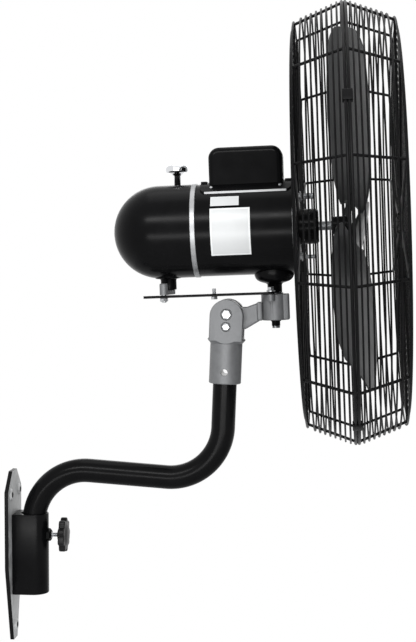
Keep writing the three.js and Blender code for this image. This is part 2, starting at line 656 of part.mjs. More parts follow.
function tiltArm() {
  const eye = [-BOSS_TOP_RISE, -KING_FORWARD]; // the tilt pivot as a (z, x) point
  const lockAngle = Math.PI + NECK_LEAN + HEAD_TILT; // seen from the pivot, in the (z, x) plane
  const slotHalf = LOCK_BOLT_RADIUS + THREAD_PLAY;
  const slotEnd = slotHalf / LOCK_DROP;
  const from = lockAngle - TILT_DOWN - slotEnd;
  const to = lockAngle + TILT_UP + slotEnd;
  const lobeEnd = (TONGUE_LOBE_RADIUS - LOCK_DROP) / LOCK_DROP;
  const lobe = [eye, ...arc(eye, TONGUE_LOBE_RADIUS, from - lobeEnd / 2, to + lobeEnd / 2, 14)];
  const slot = [
    ...arc(eye, LOCK_DROP + slotHalf, from, to, 12),
    ...arc(eye, LOCK_DROP - slotHalf, to, from, 12),
  ];
  const half = TONGUE_HALF_WIDTH;
  const neckMid = -BOSS_TOP_RISE;
  const collarFront = -BOSS_RADIUS;
  const bossBlock = [BOSS_BLOCK_START, BOSS_RADIUS];
  const solidPart = join(
    rod("y", TONGUE_RADIUS, -half, half, [-KING_FORWARD, 0, neckMid]),
    prism("y", lobe, -half, half),
    prism("y", STRUT.map(([forward, up]) => [neckMid + up, forward - KING_FORWARD]), -half, half),
    box(
      collarFront - COLLAR_THICK,
      collarFront + 2,
      -COLLAR_HALF_WIDTH,
      COLLAR_HALF_WIDTH,
      -BOSS_HEIGHT,
      neckMid + COLLAR_TOP,
    ),
    rod("z", BOSS_RADIUS, -BOSS_HEIGHT, 0, [0, 0, 0], 24),
    box(...bossBlock, -BOSS_BLOCK_HALF_WIDTH, BOSS_BLOCK_HALF_WIDTH, -BOSS_HEIGHT, 0),
    rod("z", LUG_RADIUS, -LUG_HEIGHT, 0, [THROW_X, THROW_Y, 0]),
    box(THROW_X - LUG_RADIUS * 0.8, THROW_X + LUG_RADIUS * 0.8, THROW_Y, 0, -LUG_HEIGHT, 0),
  );
  return cut(
    solidPart,
    hole("y", PIVOT_BOLT_RADIUS + RUNNING, -half - 1, half + 1, [-KING_FORWARD, 0, neckMid]),
    prism("y", slot, -half - 1, half + 1),
    hole("z", bushRadius + GAP, -BOSS_HEIGHT - 1, 1),
    hole("z", LINK_PIVOT_RADIUS + THREAD_PLAY, -LUG_HEIGHT - 1, 1, [THROW_X, THROW_Y, 0], 16),
  );
}

const linkBottom = GAP;
const linkTop = linkBottom + LINK_THICK;

function linkPivotBolt() {
  const washerBottom = linkTop + GAP;
  const headBottom = washerBottom + LINK_WASHER_THICK;
  const at = [THROW_X, THROW_Y, 0];
  return join(
    rod("z", LINK_PIVOT_RADIUS, -LUG_HEIGHT, washerBottom + 1, at, 16),
    rod("z", LINK_WASHER_RADIUS, washerBottom, headBottom, at, 16),
    rod("z", LINK_HEAD_RADIUS, headBottom, headBottom + LINK_HEAD_THICK, at, 6),
  );
}

const kingBush = cut(
  rod("z", bushRadius, -BOSS_HEIGHT, 0),
  hole("z", KING_PIN_RADIUS + RUNNING, -BOSS_HEIGHT - 1, 1),
);

piece(head, "tilt_arm", tiltArm(), "satin");
piece(head, "king_bush", kingBush, "bronze");
piece(head, "link_pivot_bolt", linkPivotBolt(), "zinc");

// ---------------------------------------------------------------- king pin and saddle
const washerBottom = GAP;
const postBottom = washerBottom + WASHER_THICK + GAP;
const kingNutTop = -BOSS_HEIGHT - GAP;
const kingPinEnd = kingNutTop - KING_NUT_HEIGHT - KING_PIN_PROUD;
const motorBottom = MOTOR_RISE - MOTOR_RADIUS;

const thrustWasher = cut(
  rod("z", WASHER_RADIUS, washerBottom, washerBottom + WASHER_THICK),
  hole("z", KING_PIN_RADIUS + RUNNING, -1, postBottom + 1),
);
const kingPin = rod("z", KING_PIN_RADIUS, kingPinEnd, postBottom + KING_PIN_IN_POST, [0, 0, 0], 16);
const kingNut = cut(
  rod("z", KING_NUT_RADIUS, kingNutTop - KING_NUT_HEIGHT, kingNutTop, [0, 0, 0], 6),
  hole("z", KING_PIN_RADIUS + THREAD_PLAY, kingPinEnd - 1, 0, [0, 0, 0], 16),
);

function motorSaddle() {
  const bowlTop = motorBottom + MOTOR_RADIUS / 5;
  const form = turned("z", [
    [0, postBottom],
    [POST_RADIUS, postBottom],
    [POST_RADIUS, POST_TOP],
    ...BOWL_FLARE.map(([out, up]) => [BOWL_RADIUS * out, POST_TOP + (motorBottom - POST_TOP) * up]),
    [BOWL_RADIUS, motorBottom],
    [BOWL_RADIUS, bowlTop],
    [0, bowlTop],
  ]);
  const reach = BOWL_RADIUS + 1;
  return cut(
    form,
    rod("x", MOTOR_RADIUS + GAP, -reach, reach, [0, 0, MOTOR_RISE], 32),
    hole("z", KING_PIN_RADIUS + GAP, 0, postBottom + KING_PIN_IN_POST + GAP, [0, 0, 0], 16),
  );
}

piece(head, "thrust_washer", thrustWasher, "steel");
piece(head, "king_pin", kingPin, "steel");
piece(head, "king_pin_nut", kingNut, "black");
piece(head, "motor_saddle", motorSaddle(), "black");

// ---------------------------------------------------------------- motor
const onAxis = [0, 0, MOTOR_RISE];
const motorBack = MOTOR_FRONT - MOTOR_LENGTH;
const bellFront = MOTOR_FRONT + BELL_THICK;
const caseFront = motorBack - REAR_PLATE_THICK;
const domeX = caseFront - CASE_STRAIGHT;
const housingFront = bellFront + HOUSING_LENGTH;
const guardBolts = [[-1, -1], [-1, 1], [1, -1], [1, 1]].map(([a, b]) => [
  0,
  a * GUARD_BOLT_OFFSET,
  MOTOR_RISE + b * GUARD_BOLT_OFFSET,
]);

// The two cover screws stand square to the motor's side.
const coverScrews = [COVER_BACK + COVER_SCREW_INSET, COVER_FRONT - COVER_SCREW_INSET];
const atCoverScrew = (bar, x) => bar.rotate([COVER_SCREW_ANGLE, 0, 0]).translate([x, 0, MOTOR_RISE]);
const coverScrewHoles = coverScrews.map((x) => atCoverScrew(
  hole("z", COVER_SCREW_RADIUS + THREAD_PLAY, MOTOR_RADIUS / 2, CASE_RADIUS + 2 * BASE_THICK, [0, 0, 0], 12),
  x,
));

const motorShell = cut(
  rod("x", MOTOR_RADIUS, motorBack, MOTOR_FRONT, onAxis, 32),
  hole("x", MOTOR_RADIUS - MOTOR_WALL, motorBack - 1, MOTOR_FRONT + 1, onAxis, 32),
  ...coverScrewHoles,
);

function frontBell() {
  const form = turned("x", [
    [0, MOTOR_FRONT],
    [MOTOR_RADIUS, MOTOR_FRONT],
    [MOTOR_RADIUS, bellFront - BELL_BEVEL],
    [MOTOR_RADIUS - BELL_BEVEL, bellFront],
    [0, bellFront],
  ], onAxis, 32);
  const boltHole = GUARD_BOLT_RADIUS + THREAD_PLAY;
  const holes = guardBolts.map((at) => hole("x", boltHole, MOTOR_FRONT - 1, bellFront + 1, at, 12));
  return cut(form, hole("x", BELL_HOLE_RADIUS, MOTOR_FRONT - 1, bellFront + 1, onAxis), ...holes);
}

const rearPlate = cut(
  rod("x", REAR_PLATE_RADIUS, caseFront, motorBack, onAxis, 32),
  hole("x", REAR_BEARING_RADIUS + GAP, caseFront - 1, motorBack + 1, onAxis),
);

const clutchAt = [-CLUTCH_BACK, CLUTCH_SIDE, 0];
const crankAt = [-CRANK_BACK, 0, 0];

function gearCase() {
  const dome = (radius, steps) => {
    const quarter = arc([0, domeX], radius, -Math.PI / 2, 0, steps);
    return turned("x", [...quarter, [radius, caseFront], [0, caseFront]], onAxis, 32);
  };
  const outer = join(
    dome(CASE_RADIUS, 9),
    rod("z", CRANK_FLANGE_RADIUS, CRANK_FLANGE_BOTTOM, CRANK_FLANGE_TOP, crankAt),
    rod("z", CRANK_BOSS_RADIUS, CRANK_BOSS_BOTTOM, CRANK_BOSS_TOP, crankAt),
  );
  const innerRadius = CASE_RADIUS - CASE_WALL;
  const inner = join(dome(innerRadius, 5), rod("x", innerRadius, caseFront - 1, caseFront + 1, onAxis, 32));
  const bossKept = join(
    rod("z", CRANK_FLANGE_RADIUS, CRANK_FLANGE_BOTTOM, CRANK_FLANGE_TOP, crankAt),
    rod("z", CRANK_BOSS_RADIUS, CRANK_BOSS_BOTTOM, CRANK_BOSS_TOP, crankAt),
  );
  return cut(
    join(cut(outer, inner), bossKept),
    hole("z", CRANK_SHAFT_RADIUS + RUNNING, CRANK_BOSS_BOTTOM - 1, CRANK_BOSS_TOP + 1, crankAt),
    hole("z", PULL_STEM_RADIUS + RUNNING, MOTOR_RISE, MOTOR_RISE + CASE_RADIUS + 1, clutchAt),
  );
}

const rotorBore = ROTOR_RADIUS + AIR_GAP;
const statorBack = STATOR_FRONT - STATOR_LENGTH;
const statorRadius = MOTOR_RADIUS - MOTOR_WALL - GAP;
const statorCore = cut(
  rod("x", statorRadius, statorBack, STATOR_FRONT, onAxis, 32),
  hole("x", rotorBore, statorBack - 1, STATOR_FRONT + 1, onAxis, 32),
);
const winding = (from, to) => cut(
  rod("x", WINDING_OUTER, from, to, onAxis, 24),
  hole("x", WINDING_INNER, from - 1, to + 1, onAxis, 24),
);

const bearing = (radius, from, to) => cut(
  rod("x", radius, from, to, onAxis, 24),
  hole("x", SHAFT_RADIUS + RUNNING, from - 1, to + 1, onAxis, 24),
);

const bearingPocketEnd = housingFront - HOUSING_NOSE;
const bearingEnd = bearingPocketEnd - GAP;

const bearingHousing = cut(
  turned("x", [
    [0, bellFront + GAP],
    [HOUSING_RADIUS, bellFront + GAP],
    [HOUSING_RADIUS, housingFront - BELL_BEVEL],
    [HOUSING_RADIUS - BELL_BEVEL, housingFront],
    [0, housingFront],
  ], onAxis),
  hole("x", FRONT_BEARING_RADIUS + GAP, bellFront - 1, bearingPocketEnd, onAxis),
  hole("x", SHAFT_RADIUS + RUNNING, bellFront, housingFront + 1, onAxis),
);

piece(head, "motor_shell", motorShell, "black");
piece(head, "motor_front_bell", frontBell(), "satin");
piece(head, "motor_rear_plate", rearPlate, "steel");
piece(head, "gear_case", gearCase(), "black");
piece(head, "stator_core", statorCore, "steel");
piece(head, "winding_rear", winding(statorBack - GAP - WINDING_LENGTH, statorBack - GAP), "copper");
piece(head, "winding_front", winding(STATOR_FRONT + GAP, STATOR_FRONT + GAP + WINDING_LENGTH), "copper");
piece(head, "rear_bearing", bearing(REAR_BEARING_RADIUS, caseFront, motorBack), "steel");
const frontBearing = bearing(FRONT_BEARING_RADIUS, bearingEnd - FRONT_BEARING_LENGTH, bearingEnd);
piece(head, "front_bearing", frontBearing, "steel");
piece(head, "bearing_housing", bearingHousing, "black");

// ---------------------------------------------------------------- capacitor
// A rounded block open below, built from its end view and its side view.
function coverForm(inset, bottom) {
  const back = COVER_BACK + inset;
  const front = COVER_FRONT - inset;
  const half = COVER_HALF_WIDTH - inset;
  const top = COVER_TOP - inset;
  const endRound = COVER_END_ROUND - inset;
  const sideRound = COVER_SIDE_ROUND - inset;
  const sideView = [
    [bottom, back],
    ...arc([top - endRound, back + endRound], endRound, -Math.PI / 2, 0, 6),
    ...arc([top - endRound, front - endRound], endRound, 0, Math.PI / 2, 6),
    [bottom, front],
  ];
  const endView = [
    [-half, bottom],
    [half, bottom],
    ...arc([half - sideRound, top - sideRound], sideRound, 0, Math.PI / 2, 5),
    ...arc([sideRound - half, top - sideRound], sideRound, Math.PI / 2, Math.PI, 5),
  ];
  return prism("y", sideView, -half, half).intersect(prism("x", endView, back, front));
}

const baseInner = MOTOR_RADIUS + GAP;
const baseOuter = baseInner + BASE_THICK;
const coverSeat = baseOuter + GAP;

function capacitorBase() {
  const low = MOTOR_RISE + MOTOR_RADIUS / 2;
  const motorTop = MOTOR_RISE + MOTOR_RADIUS;
  const block = (from) => box(
    from,
    from + BASE_BLOCK_LENGTH,
    -BASE_BLOCK_HALF_WIDTH,
    BASE_BLOCK_HALF_WIDTH,
    low,
    motorTop + BASE_BLOCK_RISE,
  );
  const strip = box(BASE_BACK, BASE_FRONT, -BASE_HALF_WIDTH, BASE_HALF_WIDTH, low, COVER_TOP);
  const body = join(
    strip.intersect(rod("x", baseOuter, BASE_BACK, BASE_FRONT, onAxis, 32)),
    block(BASE_BACK),
    block(BASE_FRONT - BASE_BLOCK_LENGTH),
  );
  return cut(body, rod("x", baseInner, BASE_BACK - 1, BASE_FRONT + 1, onAxis, 32), ...coverScrewHoles);
}

function capacitorCover() {
  const bottom = MOTOR_RISE + MOTOR_RADIUS / 2;
  return cut(
    coverForm(0, bottom),
    coverForm(COVER_WALL, bottom - 1),
    rod("x", coverSeat, COVER_BACK - 1, COVER_FRONT + 1, onAxis, 32),
  );
}

const coverScrew = join(
  rod("z", COVER_SCREW_RADIUS, MOTOR_RADIUS - MOTOR_WALL, coverSeat + 1, [0, 0, 0], 12),
  rod("z", COVER_SCREW_HEAD_RADIUS, coverSeat, coverSeat + COVER_SCREW_HEAD, [0, 0, 0], 12),
);

const capacitorMid = (COVER_BACK + COVER_FRONT) / 2;
const capacitor = rod(
  "x",
  CAPACITOR_RADIUS,
  capacitorMid - CAPACITOR_LENGTH / 2,
  capacitorMid + CAPACITOR_LENGTH / 2,
  [0, 0, MOTOR_RISE + coverSeat + CAPACITOR_RADIUS],
);

piece(head, "capacitor_base", capacitorBase(), "black");
piece(head, "capacitor_cover", capacitorCover(), "black");
piece(head, "capacitor", capacitor, "zinc");
coverScrews.forEach((x, i) => piece(head, `cover_screw_${i + 1}`, atCoverScrew(coverScrew, x), "zinc"));

// ---------------------------------------------------------------- guard
// Each half is given by distances back (or forward) from the rim plane, so one recipe makes both.
const rimOffset = RIM_WIRE + GAP / 2;
const ringStandOff = RIB_WIRE + RING_WIRE - WELD;

// The rib's centre line as [radius, depth] points, from the middle of the face to the rim.
const ribLine = (innerRadius, innerDepth) => [
  [innerRadius, innerDepth],
  [CORNER_RADIUS - RIB_CORNER, FACE_DEPTH],
  [CORNER_RADIUS, FACE_DEPTH - RIB_CORNER],
  [RIM_RADIUS - WELD, rimOffset],
];

function ring(radius, depth, wire, side) {
  const form = new THREE.TorusGeometry(radius, wire, 4, RING_SIDES);
  form.rotateZ(Math.PI / RING_SIDES);
  return solid(along("x", form).translate(RIM_X + side * depth, 0, MOTOR_RISE));
}

// One half of the guard: side -1 is the rear half and 1 the front half.
function guardHalf(side, innerRadius, innerDepth, hub) {
  const line = ribLine(innerRadius, innerDepth);
  const [faceStart, faceEnd, wallStart, wallEnd] = line;
  const cornerStep = ringStandOff * Math.SQRT1_2 - RIB_CORNER / 2;
  const made = [
    hub,
    ring(RIM_RADIUS, rimOffset, RIM_WIRE, side),
    ring(CORNER_RADIUS + cornerStep, FACE_DEPTH + cornerStep, RING_WIRE, side),
  ];
  for (let i = 1; i <= FACE_RINGS; i++) {
    const share = i / (FACE_RINGS + 1);
    const radius = THREE.MathUtils.lerp(faceStart[0], faceEnd[0], share);
    const depth = THREE.MathUtils.lerp(faceStart[1], faceEnd[1], share);
    made.push(ring(radius, depth + ringStandOff, RING_WIRE, side));
  }
  for (let i = 1; i <= WALL_RINGS; i++) {
    const share = i / (WALL_RINGS + 1);
    const radius = THREE.MathUtils.lerp(wallStart[0], wallEnd[0], share) + ringStandOff;
    made.push(ring(radius, THREE.MathUtils.lerp(wallStart[1], wallEnd[1], share), RING_WIRE, side));
  }
  for (let i = 0; i < RIBS; i++) {
    const angle = ((i + 0.5) * 2 * Math.PI) / RIBS;
    const points = line.map(([radius, depth]) => new THREE.Vector3(
      RIM_X + side * depth,
      radius * Math.cos(angle),
      MOTOR_RISE + radius * Math.sin(angle),
    ));
    made.push(sweep(points, RIB_WIRE, 4));
  }
  return join(...made);
}

const hubPlateBack = bellFront + GAP;
const hubPlateFront = hubPlateBack + HUB_PLATE_THICK;

function rearHub() {
  const plate = rod("x", HUB_PLATE_RADIUS, hubPlateBack, hubPlateFront, onAxis, 36);
  const middle = hole("x", HOUSING_RADIUS + HUB_PLATE_PLAY, hubPlateBack - 1, hubPlateFront + 1, onAxis);
  const boltHole = GUARD_BOLT_RADIUS + GAP;
  const holes = guardBolts.map((at) => hole("x", boltHole, hubPlateBack - 1, hubPlateFront + 1, at, 12));
  return cut(plate, middle, ...holes);
}

function frontHub() {
  const capBack = RIM_X + FACE_DEPTH + FACE_BULGE + RIB_WIRE - WELD;
  return turned("x", [
    [0, capBack],
    [FRONT_CAP_RADIUS, capBack],
    [FRONT_CAP_RADIUS, capBack + FRONT_CAP_THICK / 2],
    [FRONT_CAP_RADIUS * 0.8, capBack + FRONT_CAP_THICK],
    [0, capBack + FRONT_CAP_THICK],
  ], onAxis, 36);
}

function guardBolt(at) {
  const nutBack = hubPlateFront + GAP;
  return join(
    rod("x", GUARD_BOLT_RADIUS, MOTOR_FRONT + GAP, hubPlateFront + GUARD_BOLT_PROUD, at, 12),
    rod("x", GUARD_NUT_RADIUS, nutBack, nutBack + GUARD_NUT_THICK, at, 6),
  );
}

function guardClip() {
  const rimFlat = RIM_RADIUS * Math.cos(Math.PI / RING_SIDES);
  const halfX = rimOffset + RIM_WIRE + GAP;
  const low = rimFlat - RIM_WIRE - GAP;
  const high = rimFlat + RIM_WIRE + GAP;
  const length = CLIP_HALF_LENGTH;
  const wall = CLIP_WALL;
  return cut(
    box(-halfX - wall, halfX + wall, -length, length, low - wall, high + wall),
    box(-halfX, halfX, -length - 1, length + 1, low, high),
  );
}

const rearRibDepth = RIM_X - hubPlateFront - RIB_WIRE + WELD;
const frontRibDepth = FACE_DEPTH + FACE_BULGE;
piece(head, "rear_guard", guardHalf(-1, HUB_PLATE_RADIUS - RIB_LAP, rearRibDepth, rearHub()), "black");
piece(head, "front_guard", guardHalf(1, FRONT_CAP_RADIUS - RIB_LAP, frontRibDepth, frontHub()), "black");
guardBolts.forEach((at, i) => piece(head, `guard_bolt_${i + 1}`, guardBolt(at), "zinc"));
for (let i = 0; i < CLIPS; i++) {
  const holder = new THREE.Group();
  holder.position.set(RIM_X, 0, MOTOR_RISE);
  holder.rotation.x = CLIP_PHASE + (i * 2 * Math.PI) / CLIPS;
  head.add(holder);
  piece(holder, `guard_clip_${i + 1}`, guardClip(), "black");
}

// ---------------------------------------------------------------- rotor
const hubFront = HUB_BACK + HUB_LENGTH;
const wormFrom = -CLUTCH_BACK - WORM_LENGTH / 2;
const wormTo = -CLUTCH_BACK + WORM_LENGTH / 2;

const motorShaft = join(
  rod("x", SHAFT_TAIL_RADIUS, wormFrom - 1, caseFront, onAxis, 16),
  rod("x", SHAFT_RADIUS, caseFront - 1, hubFront, onAxis, 24),
);
const rotorCore = cut(
  rod("x", ROTOR_RADIUS, statorBack, STATOR_FRONT, onAxis, 32),
  hole("x", SHAFT_RADIUS + GAP, statorBack - 1, STATOR_FRONT + 1, onAxis),
);

function worm() {
  const pitch = WORM_LENGTH / WORM_THREADS;
  const profile = [[0, wormFrom]];
  for (let i = 0; i < WORM_THREADS; i++) {
    const start = wormFrom + i * pitch;
    profile.push([WORM_RADIUS - WORM_THREAD_DEPTH, start], [WORM_RADIUS, start + pitch / 2]);
  }
  profile.push([WORM_RADIUS - WORM_THREAD_DEPTH, wormTo], [0, wormTo]);
  const bore = hole("x", SHAFT_TAIL_RADIUS + GAP, wormFrom - 1, wormTo + 1, onAxis, 16);
  return cut(turned("x", profile, onAxis, 16), bore);
}

const fanHub = cut(
  rod("x", HUB_RADIUS, HUB_BACK, hubFront, onAxis),
  hole("x", SHAFT_RADIUS + GAP, HUB_BACK - 1, hubFront + 1, onAxis),
);

// A blade is a flat slab bent into place: its width follows the shape above,
// and across its chord it climbs with the pitch and bows with the camber.
function blade(angle) {
  const steps = BLADE_SHAPE.length - 1;
  const slab = new THREE.BoxGeometry(1, 1, 1, steps, BLADE_CHORD_STEPS, 1);
  const root = HUB_RADIUS + GAP;
  const points = slab.attributes.position;
  for (let i = 0; i < points.count; i++) {
    const [span, width, set] = BLADE_SHAPE[Math.round((points.getX(i) + 0.5) * steps)];
    const chord = points.getY(i) * 2;
    const across = chord * width * BLADE_HALF;
    const radius = THREE.MathUtils.lerp(root, BLADE_TIP, span);
    const turn = angle + across / radius;
    const bow = BLADE_CAMBER * width * (1 - chord * chord);
    const middle = THREE.MathUtils.lerp(BLADE_ROOT_X, BLADE_TIP_X, span) + set * BLADE_SET;
    const x = middle + across * Math.tan(BLADE_PITCH) + bow + points.getZ(i) * BLADE_THICK;
    points.setXYZ(i, x, -radius * Math.sin(turn), MOTOR_RISE + radius * Math.cos(turn));
  }
  return solid(slab);
}

piece(head, "motor_shaft", motorShaft, "steel");
piece(head, "rotor_core", rotorCore, "steel");
piece(head, "worm", worm(), "steel");
piece(head, "fan_hub", fanHub, "black");
for (let i = 0; i < BLADES; i++) {
  piece(head, `fan_blade_${i + 1}`, blade(BLADE_PHASE + (i * 2 * Math.PI) / BLADES), "blade");
}

// ---------------------------------------------------------------- crank, link and pull knob
const clutchToCrank = Math.hypot(CRANK_BACK - CLUTCH_BACK, CLUTCH_SIDE);
const wheelRadius = CLUTCH_SIDE - WORM_RADIUS - GEAR_TIP_GAP;
const pinionRadius = clutchToCrank - CRANK_GEAR_RADIUS - GEAR_TIP_GAP;
const crankGearTop = CRANK_GEAR_BOTTOM + CRANK_GEAR_THICK;
const crankArmTop = CRANK_BOSS_BOTTOM - GAP;
const crankPinAt = [-CRANK_BACK + THROW_X, THROW_Y, 0];

const crankShaft = rod("z", CRANK_SHAFT_RADIUS, CRANK_ARM_BOTTOM, crankGearTop + 1, crankAt);
const crankGear = cut(
  prism("z", gearOutline(crankAt, CRANK_GEAR_RADIUS, CRANK_GEAR_TEETH), CRANK_GEAR_BOTTOM, crankGearTop),
  hole("z", CRANK_SHAFT_RADIUS + GAP, CRANK_GEAR_BOTTOM - 1, crankGearTop + 1, crankAt),
);
const crankArm = cut(
  join(
    prism("z", stadium(crankAt, crankPinAt, CRANK_HUB_RADIUS, CRANK_EYE_RADIUS), CRANK_ARM_BOTTOM, crankArmTop),
    rod("z", CRANK_EYE_RADIUS, CRANK_ARM_BOTTOM, CRANK_EYE_TOP, crankPinAt),
  ),
  hole("z", CRANK_SHAFT_RADIUS + GAP, CRANK_ARM_BOTTOM - 1, crankArmTop + 1, crankAt),
  hole("z", CRANK_PIN_RADIUS + THREAD_PLAY, CRANK_ARM_BOTTOM - 1, CRANK_EYE_TOP - CRANK_PIN_RADIUS + GAP, crankPinAt),
);
const crankPin = rod("z", CRANK_PIN_RADIUS, CRANK_PIN_BOTTOM, CRANK_EYE_TOP - CRANK_PIN_RADIUS, crankPinAt, 16);
const crankNutTop = linkBottom - GAP;
const crankNut = cut(
  rod("z", CRANK_NUT_RADIUS, crankNutTop - CRANK_NUT_THICK, crankNutTop, crankPinAt, 6),
  hole("z", CRANK_PIN_RADIUS + THREAD_PLAY, CRANK_PIN_BOTTOM - 1, 1, crankPinAt, 16),
);

const linkBoltAt = [-LINK_BOLT_BACK, THROW_Y, 0];
const linkTailAt = [crankPinAt[0] - LINK_TAIL, THROW_Y];
const linkBar = cut(
  prism("z", stadium(linkTailAt, [THROW_X, THROW_Y], LINK_HALF_WIDTH), linkBottom, linkTop),
  hole("z", CRANK_PIN_RADIUS + GAP, linkBottom - 1, linkTop + 1, crankPinAt, 16),
  hole("z", LINK_PIVOT_RADIUS + RUNNING, linkBottom - 1, linkTop + 1, [THROW_X, THROW_Y, 0], 16),
  hole("z", LINK_BOLT_RADIUS + THREAD_PLAY, linkBottom - 1, linkTop + 1, linkBoltAt, 16),
);
const linkBolt = join(
  rod("z", LINK_HEAD_RADIUS, linkBottom - GAP - LINK_BOLT_HEAD, linkBottom - GAP, linkBoltAt, 6),
  rod("z", LINK_BOLT_RADIUS, linkBottom - GAP - 1, linkTop + LINK_BOLT_RISE, linkBoltAt, 12),
);

const innerCase = CASE_RADIUS - CASE_WALL;
const clutchFoot = MOTOR_RISE - Math.sqrt(innerCase ** 2 - (CLUTCH_SIDE + CLUTCH_RADIUS) ** 2) + GAP;
const clutchShaft = join(
  rod("z", CLUTCH_RADIUS, clutchFoot, CLUTCH_TOP, clutchAt, 16),
  prism(
    "z",
    gearOutline(clutchAt, wheelRadius, WHEEL_TEETH),
    MOTOR_RISE - WHEEL_THICK / 2,
    MOTOR_RISE + WHEEL_THICK / 2,
  ),
  prism(
    "z",
    gearOutline(clutchAt, pinionRadius, PINION_TEETH),
    CRANK_GEAR_BOTTOM,
    CRANK_GEAR_BOTTOM + PINION_THICK,
  ),
);
const pullKnob = join(
  rod("z", PULL_STEM_RADIUS, CLUTCH_TOP + GAP, PULL_BOTTOM + 1, clutchAt),
  turned("z", [
    [0, PULL_BOTTOM],
    [PULL_RADIUS - PULL_EDGE, PULL_BOTTOM],
    [PULL_RADIUS, PULL_BOTTOM + PULL_EDGE],
    [PULL_RADIUS, PULL_BOTTOM + PULL_HEIGHT - PULL_EDGE],
    [PULL_RADIUS - PULL_EDGE, PULL_BOTTOM + PULL_HEIGHT],
    [0, PULL_BOTTOM + PULL_HEIGHT],
  ], clutchAt),
);

piece(head, "crank_shaft", crankShaft, "steel");
piece(head, "crank_gear", crankGear, "bronze");
piece(head, "crank_arm", crankArm, "satin");
piece(head, "crank_pin", crankPin, "zinc");
piece(head, "crank_nut", crankNut, "zinc");
piece(head, "link_bar", linkBar, "black");
piece(head, "link_bolt", linkBolt, "zinc");
piece(head, "clutch_shaft", clutchShaft, "steel");
piece(head, "osc_knob", pullKnob, "chrome");

export default root;
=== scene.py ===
"""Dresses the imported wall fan: full wire guard, smooth castings, painted and plated finishes, camera and light."""

import json
import math

import bpy
from mathutils import Matrix, Vector


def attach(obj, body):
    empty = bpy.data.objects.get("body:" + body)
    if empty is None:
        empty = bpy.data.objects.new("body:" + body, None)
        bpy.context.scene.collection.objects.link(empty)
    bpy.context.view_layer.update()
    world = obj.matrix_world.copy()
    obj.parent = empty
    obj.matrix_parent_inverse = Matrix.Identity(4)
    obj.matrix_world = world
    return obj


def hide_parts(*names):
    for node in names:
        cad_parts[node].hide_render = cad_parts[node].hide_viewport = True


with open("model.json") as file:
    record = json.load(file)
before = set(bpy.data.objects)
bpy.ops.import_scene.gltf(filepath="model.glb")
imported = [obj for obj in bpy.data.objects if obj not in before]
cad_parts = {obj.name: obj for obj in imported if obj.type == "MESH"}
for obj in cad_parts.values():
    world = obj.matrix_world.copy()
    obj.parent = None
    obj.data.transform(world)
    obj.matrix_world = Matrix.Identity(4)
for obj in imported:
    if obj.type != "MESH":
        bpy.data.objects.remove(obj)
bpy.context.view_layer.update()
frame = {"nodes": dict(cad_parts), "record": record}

MM = 0.001
GAP = 0.3  # the play kept between neighbours

# ------------------------------------------------------------------ the fan's measures, in millimetres
PLATE_THICK = 6.3
PLATE_HALF_WIDTH = 45
PLATE_TOP = 134
PLATE_BOTTOM = -141
PLATE_CORNER = 30
PLATE_TAPER_TOP = -20
PLATE_FOOT_HALF = 12
FIXINGS = ((27, 98), (-27, 98), (0, -119))
FIXING_RADIUS = 4.5
FIXING_RIM = 9
FIXING_RIM_HEIGHT = 3
FIXING_SIDES = 40

ARM_X = 38
ARM_RADIUS = 19
SOCKET_BORE = 19.4
SOCKET_RADIUS = 23.4
SOCKET_TOP = 65
SOCKET_FOOT = -65
SOCKET_FLOOR = -61
MOUTH_RADIUS = 21.2
MOUTH_START = 44
CLAMP_BOSS_RADIUS = 10.5
CLAMP_Z = 29.5
NUT_END = 66.9
KNOB_START = 77.5
KNOB_BODY = 81
KNOB_END = 91.5
KNOB_RADIUS = 28
KNOB_LOBES = 9
KNOB_POINTS = 144
STUD_RADIUS = 3.5
STUD_PITCH = 1.25

ELBOW_Z = 141
ARM_REACH = 303.4
RUN_FALL = math.radians(3.9)
NECK_LEAN = math.radians(2.2)
ELBOW_RADIUS = 85
SWEEP_RADIUS = 85
NECK_FOOT_RISE = 158
TUBE_IN_SLEEVE = 59.5
SLEEVE_RADIUS = 25.5
SLEEVE_LENGTH = 69.5
PIVOT_RISE = 110.3
LOCK_DROP = 19.4
CLEVIS_HALF = 26.3
CLEVIS_CROWN_DROP = 3
CLEVIS_FLOOR_DROP = 36
CLEVIS_SLOT_HALF = 11.3
BOLT_SEAT_DEPTH = 4
CROSS_BOLT_RISE = 18.5
CROSS_BOLT_RADIUS = 5.5

HEAD_TILT = math.radians(2.2)
KING_FORWARD = 76.2
STRUT = ((0, 9.8), (31, 9.8), (52, 16.8), (52, -12.1), (28.5, -25), (10, -25))
BOSS_TOP_RISE = 28.9
BOSS_HEIGHT = 41
BOSS_RADIUS = 22
TONGUE_HALF = 10.7
TONGUE_EYE = 20
TONGUE_LOBE = 29
TILT_REACH = math.radians(20)
SLOT_HALF = 4.3
THROW = (-5.2, -24.6)
CRANK_BACK = 168.2
CLUTCH = (-150.3, 20)
LINK_TAIL = 26.6
LINK_BOLT_BACK = 94
LINK_HALF = 6
LINK_BOTTOM = 0.3
LINK_TOP = 4.3
CRANK_PIN_HOLE = 4.3

MOTOR_RISE = 104
MOTOR_RADIUS = 72.5
MOTOR_FRONT = 33.4
MOTOR_BACK = -116
BELL_FRONT = 39.4
CASE_FRONT = -124
DOME_X = -178
CASE_RADIUS = 73.3
CASE_WALL = 3
KING_THREAD_HOLE = 6.3
REAR_PLATE_RADIUS = 74
HOUSING_RADIUS = 27.5
HOUSING_FRONT = 72.5

